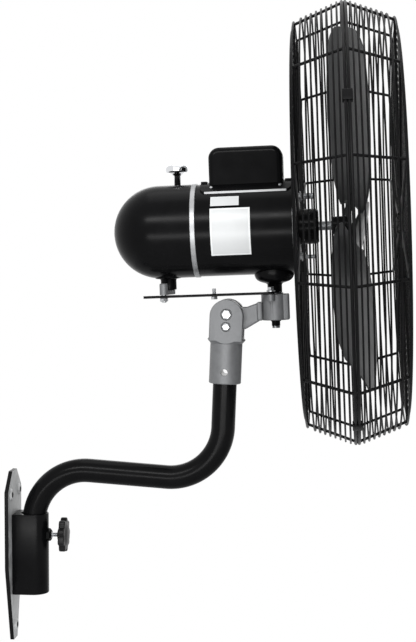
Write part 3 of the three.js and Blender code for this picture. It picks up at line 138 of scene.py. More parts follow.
COVER_BACK = -95.8
COVER_FRONT = 19.8
COVER_HALF = 29
COVER_TOP = 232
COVER_SEAT = 75.6
BASE_BACK = -109
BASE_FRONT = 32.5
BASE_HALF = 47
BASE_INNER = 72.8
BASE_OUTER = 75.3
BASE_BLOCK_TOP = 180
SCREW_ANGLE = math.radians(30)
COVER_SCREW_HOLE = 1.8
COVER_ROUND = 17
BASE_CORNER = 9
STICKER_THICK = 0.22
COVER_SCREWS = (COVER_BACK + 4.5, COVER_FRONT - 4.5)

RIM_X = 121.5
RIM_RADIUS = 341.5
RIM_WIRE = 2.5
RIM_OFFSET = 2.65
RIB_WIRE = 2.25
RING_WIRE = 1.6
CORNER_RADIUS = 314
FACE_DEPTH = 75.5
FACE_BULGE = 2.65
RIB_CORNER = 3
RIBS = 12
WELD = 0.8
FACE_WIRES = 25
WALL_WIRES = 8
HUB_PLATE_BACK = 39.7
HUB_PLATE_FRONT = 41.9
HUB_PLATE_RADIUS = 78.5
CAP_RADIUS = 62
BOLT_OFFSET = 47.38
BOLT_HOLE = 3.3
BOLT_PLACES = tuple((a * BOLT_OFFSET, b * BOLT_OFFSET) for a in (-1, 1) for b in (-1, 1))
RIM_SIDES = 36
CLIPS = 4
CLIP_PHASE = math.radians(60)

FAN_BACK = 94.5
FAN_FRONT = 122.5
HUB_RADIUS = 14
BLADE_TIP = 305
BLADE_PITCH = math.radians(23.5)
BLADE_PHASE = math.radians(16)
BLADE_HALF = 72
BLADE_SET = 9
BLADE_BOW = 9
BLADE_THICK = 2.2
BLADE_ROOT_X = 114
BLADE_TIP_X = 123.5
BLADES = 3
BLADE_SHAPE = (
    (0, 0.15, 0), (0.07, 0.15, 0.85), (0.09, 0.5, 1), (0.22, 0.8, 0.9), (0.38, 0.95, 0.7),
    (0.54, 1, 0.45), (0.7, 0.98, 0.25), (0.84, 0.9, 0.1), (0.95, 0.76, 0), (1, 0.52, 0),
)


# ------------------------------------------------------------------ finishes
def group(name, inputs, outputs):
    """A node group with named sockets and its two end nodes."""
    tree = bpy.data.node_groups.new(name, "ShaderNodeTree")
    for label, kind, value in inputs:
        socket = tree.interface.new_socket(name=label, in_out="INPUT", socket_type=kind)
        socket.default_value = value
    for label, kind in outputs:
        tree.interface.new_socket(name=label, in_out="OUTPUT", socket_type=kind)
    start = tree.nodes.new("NodeGroupInput")
    end = tree.nodes.new("NodeGroupOutput")
    return tree, start, end


def node(tree, kind, **values):
    made = tree.nodes.new(kind)
    for name, value in values.items():
        setattr(made, name, value)
    return made


def noise_node(tree, scale, detail=4, roughness=0.6):
    made = node(tree, "ShaderNodeTexNoise")
    made.inputs["Scale"].default_value = scale
    made.inputs["Detail"].default_value = detail
    made.inputs["Roughness"].default_value = roughness
    return made


def range_node(tree, source, low, high, from_low=0.3, from_high=0.7):
    made = node(tree, "ShaderNodeMapRange")
    made.inputs["From Min"].default_value = from_low
    made.inputs["From Max"].default_value = from_high
    made.inputs["To Min"].default_value = low
    made.inputs["To Max"].default_value = high
    tree.links.new(source, made.inputs["Value"])
    return made.outputs["Result"]


def make_handled_surface():
    """Slow mottling and faint handling smudges: a colour, a roughness and a height that change over the surface."""
    tree, start, end = group(
        "handled surface",
        (
            ("Color", "NodeSocketColor", (0.5, 0.5, 0.5, 1)),
            ("Shade", "NodeSocketFloat", 0.1),
            ("Roughness", "NodeSocketFloat", 0.4),
            ("Smudge", "NodeSocketFloat", 0.1),
            ("Mottle Scale", "NodeSocketFloat", 30),
            ("Grain Scale", "NodeSocketFloat", 900),
        ),
        (("Color", "NodeSocketColor"), ("Roughness", "NodeSocketFloat"), ("Grain", "NodeSocketFloat")),
    )
    place = node(tree, "ShaderNodeTexCoord")
    mottle = noise_node(tree, 30, 5)
    grain = noise_node(tree, 900, 3)
    for texture, label in ((mottle, "Mottle Scale"), (grain, "Grain Scale")):
        tree.links.new(place.outputs["Object"], texture.inputs["Vector"])
        tree.links.new(start.outputs[label], texture.inputs["Scale"])
    spread = range_node(tree, mottle.outputs["Fac"], -1, 1)
    shade = node(tree, "ShaderNodeMath", operation="MULTIPLY_ADD")
    shade.inputs[2].default_value = 1
    tree.links.new(spread, shade.inputs[0])
    tree.links.new(start.outputs["Shade"], shade.inputs[1])
    tint = node(tree, "ShaderNodeVectorMath", operation="SCALE")
    tree.links.new(start.outputs["Color"], tint.inputs[0])
    tree.links.new(shade.outputs[0], tint.inputs["Scale"])
    rough = node(tree, "ShaderNodeMath", operation="MULTIPLY_ADD", use_clamp=True)
    tree.links.new(spread, rough.inputs[0])
    tree.links.new(start.outputs["Smudge"], rough.inputs[1])
    tree.links.new(start.outputs["Roughness"], rough.inputs[2])
    tree.links.new(tint.outputs[0], end.inputs["Color"])
    tree.links.new(rough.outputs[0], end.inputs["Roughness"])
    tree.links.new(grain.outputs["Fac"], end.inputs["Grain"])
    return tree


HANDLED = make_handled_surface()


def finish(name, color, roughness, metallic=0.0, shade=0.08, smudge=0.05, mottle=30, grain=900, bump=0.02,
           specular=0.5):
    """A painted, cast or plated finish."""
    material = bpy.data.materials.new(name)
    material.use_nodes = True
    tree = material.node_tree
    shader = tree.nodes["Principled BSDF"]
    surface = node(tree, "ShaderNodeGroup", node_tree=HANDLED)
    surface.inputs["Color"].default_value = (*color, 1)
    surface.inputs["Shade"].default_value = shade
    surface.inputs["Roughness"].default_value = roughness
    surface.inputs["Smudge"].default_value = smudge
    surface.inputs["Mottle Scale"].default_value = mottle
    surface.inputs["Grain Scale"].default_value = grain
    tree.links.new(surface.outputs["Color"], shader.inputs["Base Color"])
    tree.links.new(surface.outputs["Roughness"], shader.inputs["Roughness"])
    relief = node(tree, "ShaderNodeBump")
    relief.inputs["Strength"].default_value = bump
    relief.inputs["Distance"].default_value = 0.0005
    tree.links.new(surface.outputs["Grain"], relief.inputs["Height"])
    tree.links.new(relief.outputs["Normal"], shader.inputs["Normal"])
    shader.inputs["Metallic"].default_value = metallic
    shader.inputs["Specular IOR Level"].default_value = specular
    return material


ENAMEL = finish("gloss black enamel", (0.003, 0.003, 0.0033), 0.24, shade=0.2, smudge=0.04, grain=260, bump=0.03,
                specular=0.06)
POWDER = finish("black powder coat", (0.004, 0.004, 0.0043), 0.38, shade=0.25, smudge=0.06, grain=1500, bump=0.15,
                specular=0.08)
CASTING = finish("satin cast alloy", (0.15, 0.153, 0.157), 0.46, metallic=0.35, shade=0.12, smudge=0.08, mottle=60,
                 grain=1400, bump=0.35)
ZINC = finish("zinc plating", (0.5, 0.51, 0.52), 0.32, metallic=0.9, shade=0.15, smudge=0.1, mottle=120, grain=2000,
              bump=0.1)
CHROME = finish("polished chrome", (0.72, 0.73, 0.75), 0.07, metallic=1, shade=0.03, smudge=0.02, bump=0.01)
RING = finish("turned aluminium", (0.34, 0.345, 0.35), 0.42, metallic=0.8, shade=0.08, smudge=0.06, mottle=90,
              grain=1800, bump=0.1)
BLADE = finish("grey blade paint", (0.028, 0.029, 0.03), 0.36, metallic=0.2, shade=0.12, smudge=0.08, mottle=18,
               bump=0.06)
PLATE = finish("passivated plate", (0.42, 0.425, 0.425), 0.5, metallic=0.35, shade=0.34, smudge=0.12, mottle=45,
               grain=1200, bump=0.2)
PLASTIC = finish("moulded black plastic", (0.006, 0.006, 0.0063), 0.36, shade=0.15, smudge=0.06, grain=1100,
                 bump=0.2, specular=0.15)
STEEL = finish("machined steel", (0.16, 0.165, 0.17), 0.34, metallic=0.9, shade=0.1, smudge=0.08, mottle=80,
               bump=0.1)
BRONZE = finish("sintered bronze", (0.4, 0.26, 0.1), 0.45, metallic=0.9, shade=0.15, mottle=120, bump=0.2)
COPPER = finish("varnished copper winding", (0.42, 0.15, 0.05), 0.3, metallic=0.8, shade=0.25, mottle=300, bump=0.4)
DECAL = finish("plain pale sticker", (0.74, 0.75, 0.75), 0.35, shade=0.03, smudge=0.05, mottle=20, bump=0.05)
DECAL_FIELD = finish("plain grey sticker field", (0.6, 0.61, 0.61), 0.35, shade=0.03, smudge=0.05, mottle=20,
                     bump=0.05)

NODE_FINISH = {
    "plate_face": PLATE,
    "black_paint": ENAMEL,
    "black_wire": POWDER,
    "grey_casting": CASTING,
    "zinc": ZINC,
    "machined_steel": STEEL,
    "bronze": BRONZE,
    "copper": COPPER,
    "can": RING,
    "knob_plastic": PLASTIC,
    "chrome": CHROME,
    "blade": BLADE,
}


def dress_nodes():
    """Every carried-over solid gets the finish of its material slot."""
    slots = {s["node"]: s["material_slot"] for s in frame["record"]["subparts"]}
    for name, item in frame["nodes"].items():
        item.data.materials.clear()
        item.data.materials.append(NODE_FINISH[slots[name]])


# ------------------------------------------------------------------ bench tools
WORLD = Matrix.Identity(4)
ELBOW = Vector((ARM_X, 0, ELBOW_Z))
LOWER_CORNER = Vector((ARM_X + ARM_REACH, 0, ELBOW_Z - ARM_REACH * math.tan(RUN_FALL)))
NECK_UP = Vector((math.sin(NECK_LEAN), 0, math.cos(NECK_LEAN)))
NECK_FOOT = LOWER_CORNER + NECK_UP * NECK_FOOT_RISE
PIVOT = NECK_FOOT + NECK_UP * PIVOT_RISE
NECK = Matrix.Translation(NECK_FOOT) @ Matrix.Rotation(NECK_LEAN, 4, "Y")
HEAD = (
    Matrix.Translation(PIVOT)
    @ Matrix.Rotation(-HEAD_TILT, 4, "Y")
    @ Matrix.Translation((KING_FORWARD, 0, BOSS_TOP_RISE))
)
AXIS = HEAD @ Matrix.Translation((0, 0, MOTOR_RISE))
# These stand a form that was made along Z so that it runs along X or Y.
ALONG_X = Matrix(((0, 0, 1, 0), (1, 0, 0, 0), (0, 1, 0, 0), (0, 0, 0, 1)))
ALONG_Y = Matrix(((0, 1, 0, 0), (0, 0, 1, 0), (1, 0, 0, 0), (0, 0, 0, 1)))


def clear_selection():
    if bpy.context.object and bpy.context.object.mode != "OBJECT":
        bpy.ops.object.mode_set(mode="OBJECT")
    bpy.ops.object.select_all(action="DESELECT")


def hold(item):
    clear_selection()
    item.select_set(True)
    bpy.context.view_layer.objects.active = item


def edit(item):
    hold(item)
    bpy.ops.object.mode_set(mode="EDIT")
    bpy.ops.mesh.select_all(action="SELECT")


def tidy_shell(item, merge=0.001):
    """Merges doubles and turns every face outwards."""
    edit(item)
    bpy.ops.mesh.remove_doubles(threshold=merge)
    bpy.ops.mesh.normals_make_consistent(inside=False)
    bpy.ops.object.mode_set(mode="OBJECT")


def turned(stations, sides=64, hollow=False):
    """A ring drawn along Z from one (radius, height) to the next, as on a lathe."""
    clear_selection()
    radius, height = stations[0]
    fill = "NOTHING" if hollow else "NGON"
    bpy.ops.mesh.primitive_circle_add(vertices=sides, radius=radius, fill_type=fill)
    item = bpy.context.object
    bpy.ops.object.mode_set(mode="EDIT")
    bpy.ops.mesh.select_all(action="SELECT")
    bpy.ops.transform.translate(value=(0, 0, height))
    for next_radius, next_height in stations[1:]:
        bpy.ops.mesh.extrude_region_move(TRANSFORM_OT_translate={"value": (0, 0, next_height - height)})
        ratio = max(next_radius, 0.001) / radius
        bpy.ops.transform.resize(value=(ratio, ratio, 1), center_override=(0, 0, next_height))
        radius, height = max(next_radius, 0.001), next_height
    if radius <= 0.001:
        bpy.ops.mesh.merge(type="CENTER")
    bpy.ops.object.mode_set(mode="OBJECT")
    tidy_shell(item)
    return item


def pressed(outline, low, high):
    """A flat outline drawn up along Z into a plate."""
    clear_selection()
    bpy.ops.mesh.primitive_circle_add(vertices=len(outline), radius=1, fill_type="NGON")
    item = bpy.context.object
    for vertex, (a, b) in zip(item.data.vertices, outline):
        vertex.co = (a, b, low)
    bpy.ops.object.mode_set(mode="EDIT")
    bpy.ops.mesh.select_all(action="SELECT")
    bpy.ops.mesh.extrude_region_move(TRANSFORM_OT_translate={"value": (0, 0, high - low)})
    bpy.ops.object.mode_set(mode="OBJECT")
    tidy_shell(item)
    return item


def block(x0, x1, y0, y1, z0, z1):
    clear_selection()
    bpy.ops.mesh.primitive_cube_add(size=1)
    item = bpy.context.object
    place = Matrix.Translation(((x0 + x1) / 2, (y0 + y1) / 2, (z0 + z1) / 2))
    return put(item, place @ Matrix.Diagonal((x1 - x0, y1 - y0, z1 - z0, 1)))


def put(item, place):
    """Sets a form down and makes its place part of its mesh."""
    hold(item)
    item.matrix_world = place @ item.matrix_world
    bpy.ops.object.transform_apply(location=True, rotation=True, scale=True)
    return item


def at(x, y, z):
    return Matrix.Translation((x, y, z))


def apply_modifier(item, kind, **values):
    hold(item)
    made = item.modifiers.new(kind.title(), kind)
    for name, value in values.items():
        setattr(made, name, value)
    bpy.ops.object.modifier_apply(modifier=made.name)


def combine(item, others, operation):
    for other in others:
        apply_modifier(item, "BOOLEAN", object=other, operation=operation, solver="EXACT")
        bpy.data.objects.remove(other)
    return item


def cut(item, *others):
    return combine(item, others, "DIFFERENCE")


def weld(item, *others):
    return combine(item, others, "UNION")


def gather(items):
    """Puts several closed forms into one object."""
    hold(items[0])
    for item in items:
        item.select_set(True)
    bpy.ops.object.join()
    return bpy.context.object


def soften(item, width, angle=30, segments=2):
    apply_modifier(
        item,
        "BEVEL",
        width=width,
        segments=segments,
        limit_method="ANGLE",
        angle_limit=math.radians(angle),
    )
    return item


def rod(radius, low, high, sides=48):
    return turned(((radius, low), (radius, high)), sides)


def arc(centre, radius, start, stop, steps):
    angles = [start + (stop - start) * i / steps for i in range(steps + 1)]
    return [(centre[0] + radius * math.cos(a), centre[1] + radius * math.sin(a)) for a in angles]


def fit(item, name, body, material, *nodes, place=WORLD, smooth=32, slot=None):
    """Finishes a piece: place, shading, material, the body it rides on and the solids it stands for."""
    put(item, Matrix.Scale(MM, 4) @ place)
    item.name = name
    item.data.name = name
    if not item.data.materials:
        item.data.materials.append(material)
    hold(item)
    bpy.ops.object.shade_smooth_by_angle(angle=math.radians(smooth))
    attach(item, body)
    if nodes:
        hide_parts(*nodes)
    return item


# ------------------------------------------------------------------ wall bracket
def make_wall_plate():
    corner = PLATE_HALF_WIDTH - PLATE_CORNER
    outline = [
        (-PLATE_FOOT_HALF, PLATE_BOTTOM),
        (PLATE_FOOT_HALF, PLATE_BOTTOM),
        (PLATE_HALF_WIDTH, PLATE_TAPER_TOP),
        (PLATE_HALF_WIDTH, PLATE_TOP - PLATE_CORNER),
        (corner, PLATE_TOP),
        (-corner, PLATE_TOP),
        (-PLATE_HALF_WIDTH, PLATE_TOP - PLATE_CORNER),
        (-PLATE_HALF_WIDTH, PLATE_TAPER_TOP),
    ]
    plate = put(pressed(outline, 0, PLATE_THICK), ALONG_X)
    for y, z in FIXINGS:
        rim = turned(
            (
                (FIXING_RIM + 1.5, PLATE_THICK / 2),
                (FIXING_RIM + 1.5, PLATE_THICK),
                (FIXING_RIM, PLATE_THICK + 1),
                (FIXING_RIM - 1, PLATE_THICK + FIXING_RIM_HEIGHT),
            ),
            FIXING_SIDES,
        )
        drill = rod(FIXING_RADIUS, -2, PLATE_THICK + 2 * FIXING_RIM_HEIGHT, FIXING_SIDES)
        weld(plate, put(rim, at(0, y, z) @ ALONG_X))
        cut(plate, put(drill, at(0, y, z) @ ALONG_X))
    soften(plate, 0.6, 35)
    plate.data.materials.append(PLATE)
    plate.data.materials.append(POWDER)
    for face in plate.data.polygons:
        on_edge = abs(face.normal.x) < 0.4 and face.center.x < PLATE_THICK - 0.2
        face.material_index = int(on_edge)
    fit(plate, "fixing_plate", "bracket", PLATE, "wall_plate", slot="plate_face")


def make_socket():
    outline = [
        (PLATE_THICK, -SOCKET_RADIUS),
        *arc((ARM_X, 0), SOCKET_RADIUS, -math.pi / 2, math.pi / 2, 40),
        (PLATE_THICK, SOCKET_RADIUS),
    ]
    socket = soften(pressed(outline, SOCKET_FOOT, SOCKET_TOP), 1.6, 45, 3)
    bore = put(rod(SOCKET_BORE, SOCKET_FLOOR, SOCKET_TOP + 5, 72), at(ARM_X, 0, 0))
    mouth = turned(((SOCKET_BORE, MOUTH_START), (MOUTH_RADIUS, MOUTH_START + 3), (MOUTH_RADIUS, SOCKET_TOP + 5)), 72)
    put(mouth, at(ARM_X, 0, 0))
    stud_hole = put(rod(STUD_RADIUS + GAP, ARM_X, NUT_END, 24), at(0, 0, CLAMP_Z) @ ALONG_X)
    cut(socket, bore, mouth, stud_hole)
    fit(socket, "arm_socket_body", "bracket", ENAMEL, "arm_socket", "socket_floor", slot="black_paint")


def make_clamp():
    start = SOCKET_RADIUS + ARM_X - 4
    boss = turned(((CLAMP_BOSS_RADIUS, start), (CLAMP_BOSS_RADIUS, NUT_END - 2.6), (7.6, NUT_END)), 6)
    boss = put(boss, at(0, 0, CLAMP_Z) @ ALONG_X)
    cut(boss, put(rod(SOCKET_RADIUS + 0.1, -60, 60, 72), at(ARM_X, 0, 0)))
    cut(boss, put(rod(STUD_RADIUS + GAP, ARM_X, NUT_END + 5, 24), at(0, 0, CLAMP_Z) @ ALONG_X))
    soften(boss, 0.5)
    fit(boss, "clamp_boss", "bracket", ENAMEL, "clamp_nut", slot="black_paint")

    stations = [(STUD_RADIUS - 0.6, ARM_X + ARM_RADIUS + GAP)]
    height = stations[0][1] + 0.6
    while height < KNOB_START + 9:
        stations += [(STUD_RADIUS, height), (STUD_RADIUS - 0.55, height + 0.62)]
        height += STUD_PITCH
    stud = put(turned(stations, 24), at(0, 0, CLAMP_Z) @ ALONG_X)
    fit(stud, "clamp_screw", "clamp_stud", ZINC, "clamp_stud", smooth=20, slot="zinc")

    lobes = []
    for i in range(KNOB_POINTS):
        angle = 2 * math.pi * i / KNOB_POINTS
        dip = 1 - math.cos(KNOB_LOBES * angle)
        radius = KNOB_RADIUS - 3.4 * dip / 2 - 1.2 * dip ** 2 / 4
        lobes.append((radius * math.cos(angle), radius * math.sin(angle)))
    grip = soften(pressed(lobes, KNOB_BODY, KNOB_END), 2.2, 50, 4)
    hub = turned(((9.5, KNOB_START), (10.5, KNOB_START + 0.8), (12.5, KNOB_BODY + 2)), 40)
    crown = turned(
        ((18, KNOB_END - 2), (18, KNOB_END), (14, KNOB_END + 2), (8, KNOB_END + 2.8), (0, KNOB_END + 3)),
        40,
    )
    weld(grip, hub, crown)
    cut(grip, rod(STUD_RADIUS + GAP, KNOB_START - 2, KNOB_START + 10.3, 24))
    put(grip, at(0, 0, CLAMP_Z) @ ALONG_X)
    fit(grip, "clamp_hand_knob", "clamp_knob", PLASTIC, "clamp_knob", slot="knob_plastic")


# ------------------------------------------------------------------ arm
def bend_points(before, corner, after, radius, steps):
    arriving = (corner - before).normalized()
    leaving = (after - corner).normalized()
    turn = arriving.angle(leaving)
    start = corner - arriving * radius * math.tan(turn / 2)
    inward = (leaving - arriving * leaving.dot(arriving)).normalized()
    points = []
    for i in range(steps + 1):
        angle = turn * i / steps
        points.append(start + arriving * radius * math.sin(angle) + inward * radius * (1 - math.cos(angle)))
    return points


def wire(points, radius, sides=8, closed=False):
    """A bent wire or tube along points, as a mesh with filled ends."""
    curve = bpy.data.curves.new("bent", "CURVE")
    curve.dimensions = "3D"
    curve.bevel_depth = radius
    curve.bevel_resolution = max(sides // 2 - 2, 0)
    curve.use_fill_caps = True
    line = curve.splines.new("POLY")
    line.points.add(len(points) - 1)
    for point, place in zip(line.points, points):
        point.co = (*place, 1)
    line.use_cyclic_u = closed
    item = bpy.data.objects.new("bent", curve)
    bpy.context.collection.objects.link(item)
    hold(item)
    bpy.ops.object.convert(target="MESH")
    return bpy.context.object


def make_arm():
    foot = Vector((ARM_X, 0, SOCKET_FLOOR + GAP))
    end = NECK_FOOT + NECK_UP * TUBE_IN_SLEEVE
    points = [
        foot,
        *bend_points(foot, ELBOW, LOWER_CORNER, ELBOW_RADIUS, 40),
        *bend_points(ELBOW, LOWER_CORNER, end, SWEEP_RADIUS, 40),
        end,
    ]
    tube = wire(points, ARM_RADIUS, 48)
    tidy_shell(tube)
    cross = put(rod(CROSS_BOLT_RADIUS, -30, 30, 32), at(*(NECK_FOOT + NECK_UP * CROSS_BOLT_RISE)) @ ALONG_Y)
    cut(tube, cross)
    fit(tube, "arm_pipe", "arm", ENAMEL, "arm_tube", smooth=40, slot="black_paint")


def bolt_head(radius, thick, low, socket=0.0):
    """A hexagon head with its chamfered top, and a washer face below."""
    head = turned(
        ((radius * 0.95, low), (radius * 0.95, low + 0.5), (radius, low + 0.5), (radius, low + thick - 1),
         (radius * 0.86, low + thick)),
        6,
    )
    if socket:
        cut(head, rod(socket, low + thick - 2, low + thick + 1, 6))
    return soften(head, 0.3, 40)


def make_neck():
    sleeve = turned(
        (
            (SLEEVE_RADIUS - 0.8, 0),
            (SLEEVE_RADIUS, 1.2),
            (SLEEVE_RADIUS, SLEEVE_LENGTH - 6),
            (SLEEVE_RADIUS + 4, SLEEVE_LENGTH - 1.4),
            (SLEEVE_RADIUS + 4.8, SLEEVE_LENGTH),
            (SLEEVE_RADIUS + 4, SLEEVE_LENGTH + 1.2),
            (SLEEVE_RADIUS - 0.5, SLEEVE_LENGTH + 5),
        ),
        72,
    )
    half = CLEVIS_HALF
    outline = [
        (SLEEVE_LENGTH - 2, -half),
        *arc((PIVOT_RISE - CLEVIS_CROWN_DROP, 0), half, -math.pi / 2, math.pi / 2, 32),
        (SLEEVE_LENGTH - 2, half),
    ]
    cheeks = soften(put(pressed(outline, -half, half), ALONG_Y), 1.4, 50, 3)
    weld(sleeve, cheeks)
    far_side = block(-40, 40, half, 60, -5, 160)
    near_side = block(-40, 40, -60, -half, -5, 160)
    cut(sleeve, far_side, near_side)
    cut(sleeve, block(-40, 40, -CLEVIS_SLOT_HALF, CLEVIS_SLOT_HALF, PIVOT_RISE - CLEVIS_FLOOR_DROP, 160))
    cut(sleeve, rod(ARM_RADIUS + GAP, -2, TUBE_IN_SLEEVE + GAP, 72))
    cut(sleeve, put(rod(CROSS_BOLT_RADIUS, -40, 40, 32), at(0, 0, CROSS_BOLT_RISE) @ ALONG_Y))
    for rise, bore, seat in ((PIVOT_RISE, 5.3, 9.4), (PIVOT_RISE - LOCK_DROP, 4.3, 7.9)):
        place = at(0, 0, rise) @ ALONG_Y
        cut(sleeve, put(rod(bore, -40, 40, 32), place))
        cut(sleeve, put(rod(seat, half - BOLT_SEAT_DEPTH, 40, 48), place))
        cut(sleeve, put(rod(seat, -40, BOLT_SEAT_DEPTH - half, 48), place))
    soften(sleeve, 0.7, 38)
    fit(sleeve, "neck_cast", "arm", CASTING, "neck_casting", place=NECK, slot="grey_casting")

    seat = half - BOLT_SEAT_DEPTH + GAP
    for name, rise, shank, radius in (
        ("tilt_pivot", PIVOT_RISE, 5, 8),
        ("tilt_lock", PIVOT_RISE - LOCK_DROP, 4, 6.5),
    ):
        head = put(bolt_head(radius, 5.5, seat), Matrix.Rotation(math.pi, 4, "Z") @ ALONG_Y)
        shaft = put(turned(((shank, -seat - 1), (shank, seat + 6.5), (shank - 1, seat + 7.5)), 32), ALONG_Y)
        mark = turned(((shank * 0.55, seat + 5.2), (shank * 0.4, seat + 4.2)), 24)
        cut(head, put(mark, Matrix.Rotation(math.pi, 4, "Z") @ ALONG_Y))
        bolt = gather([head, shaft])
        fit(bolt, f"{name}_screw", "arm", ZINC, f"{name}_bolt", place=NECK @ at(0, 0, rise), slot="zinc")
        nut = put(bolt_head(radius, 5.5, seat), ALONG_Y)
        cut(nut, put(rod(shank + GAP, seat - 2, seat + 8, 32), ALONG_Y))
        fit(nut, f"{name}_hex_nut", "arm", ZINC, f"{name}_nut", place=NECK @ at(0, 0, rise), slot="zinc")


def make_tilt_arm():
    mid = -BOSS_TOP_RISE
    eye = (mid, -KING_FORWARD)
    half = TONGUE_HALF
    lock = math.pi + NECK_LEAN + HEAD_TILT
    end = SLOT_HALF / LOCK_DROP
    start, stop = lock - TILT_REACH - end, lock + TILT_REACH + end
    lobe = [eye, *arc(eye, TONGUE_LOBE, start - 0.25, stop + 0.25, 30)]
    slot = [*arc(eye, LOCK_DROP + SLOT_HALF, start, stop, 24), *arc(eye, LOCK_DROP - SLOT_HALF, stop, start, 24)]
    casting = put(rod(TONGUE_EYE, -half, half, 64), at(-KING_FORWARD, 0, mid) @ ALONG_Y)
    weld(casting, put(pressed(lobe, -half, half), ALONG_Y))
    strut = pressed([(mid + up, forward - KING_FORWARD) for forward, up in STRUT], -half, half)
    weld(casting, soften(put(strut, ALONG_Y), 2.5, 50, 3))
    collar = block(-BOSS_RADIUS - 7, -BOSS_RADIUS + 2, -15, 15, -BOSS_HEIGHT, mid + 17)
    weld(casting, soften(collar, 2.4, 50, 3))
    boss = turned(
        ((BOSS_RADIUS - 1, -BOSS_HEIGHT), (BOSS_RADIUS, -BOSS_HEIGHT + 1), (BOSS_RADIUS, -1), (BOSS_RADIUS - 1, 0)),
        64,
    )
    weld(casting, boss)
    weld(casting, soften(block(5, 21.8, -17.5, 17.5, -BOSS_HEIGHT + 0.2, -0.2), 2, 50, 3))
    lug = put(rod(6, -10, 0, 40), at(*THROW, 0))
    weld(casting, block(THROW[0] - 4.8, THROW[0] + 4.8, THROW[1], 0, -9.8, -0.2), lug)
    cut(casting, put(rod(5.2, -30, 30, 32), at(-KING_FORWARD, 0, mid) @ ALONG_Y))
    cut(casting, put(pressed(slot, -30, 30), ALONG_Y))
    cut(casting, rod(9.4, -60, 5, 48))
    cut(casting, put(rod(3.8, -30, 5, 24), at(*THROW, 0)))
    soften(casting, 0.6, 38)
    fit(casting, "tilt_arm_cast", "tilt_arm", CASTING, "tilt_arm", place=HEAD, slot="grey_casting")

    bolt = gather(
        [
            turned(((3.5, -10), (3.5, 5.2)), 24),
            turned(((6.4, 4.7), (6.8, 5), (6.8, 6.4), (6.4, 6.8)), 40),
            bolt_head(5.5, 5.5, 6.8),
        ]
    )
    put(bolt, at(*THROW, 0))
    fit(bolt, "link_pivot_screw", "tilt_arm", ZINC, "link_pivot_bolt", place=HEAD, slot="zinc")


# ------------------------------------------------------------------ head
def make_saddle():
    saddle = turned(
        (
            (11.2, 2.4),
            (11.5, 2.8),
            (11.5, 14.8),
            (13.2, 16.8),
            (18, 18.2),
            (22.5, 19.7),
            (26.6, 22),
            (29.6, 25.4),
            (31, 29),
            (31.5, 33),
            (31.5, 46),
        ),
        72,
    )
    cut(saddle, put(rod(MOTOR_RADIUS + 0.1, -60, 60, 128), at(0, 0, MOTOR_RISE) @ ALONG_X))
    cut(saddle, rod(KING_THREAD_HOLE, 0, 22.6, 32))
    fit(saddle, "motor_seat", "head", ENAMEL, "motor_saddle", place=HEAD, smooth=45, slot="black_paint")

    washer = turned(
        ((6.1, 0.3), (12.6, 0.3), (13, 0.6), (13, 1.7), (12.6, 2), (6.1, 2), (6.1, 0.3)),
        48,
        hollow=True,
    )
    fit(washer, "king_washer", "head", STEEL, "thrust_washer", place=HEAD, slot="machined_steel")
    nut = turned(((7.5, -50.3), (7.5, -42.3), (7, -41.3)), 6)
    ring = turned(((7.7, -43.2), (8.1, -42.8), (8.1, -41.9), (7.7, -41.5)), 40)
    weld(nut, ring)
    cut(nut, rod(KING_THREAD_HOLE, -60, -30, 32))
    soften(nut, 0.3, 40)
    fit(nut, "king_nut", "head", ENAMEL, "king_pin_nut", place=HEAD, slot="black_paint")


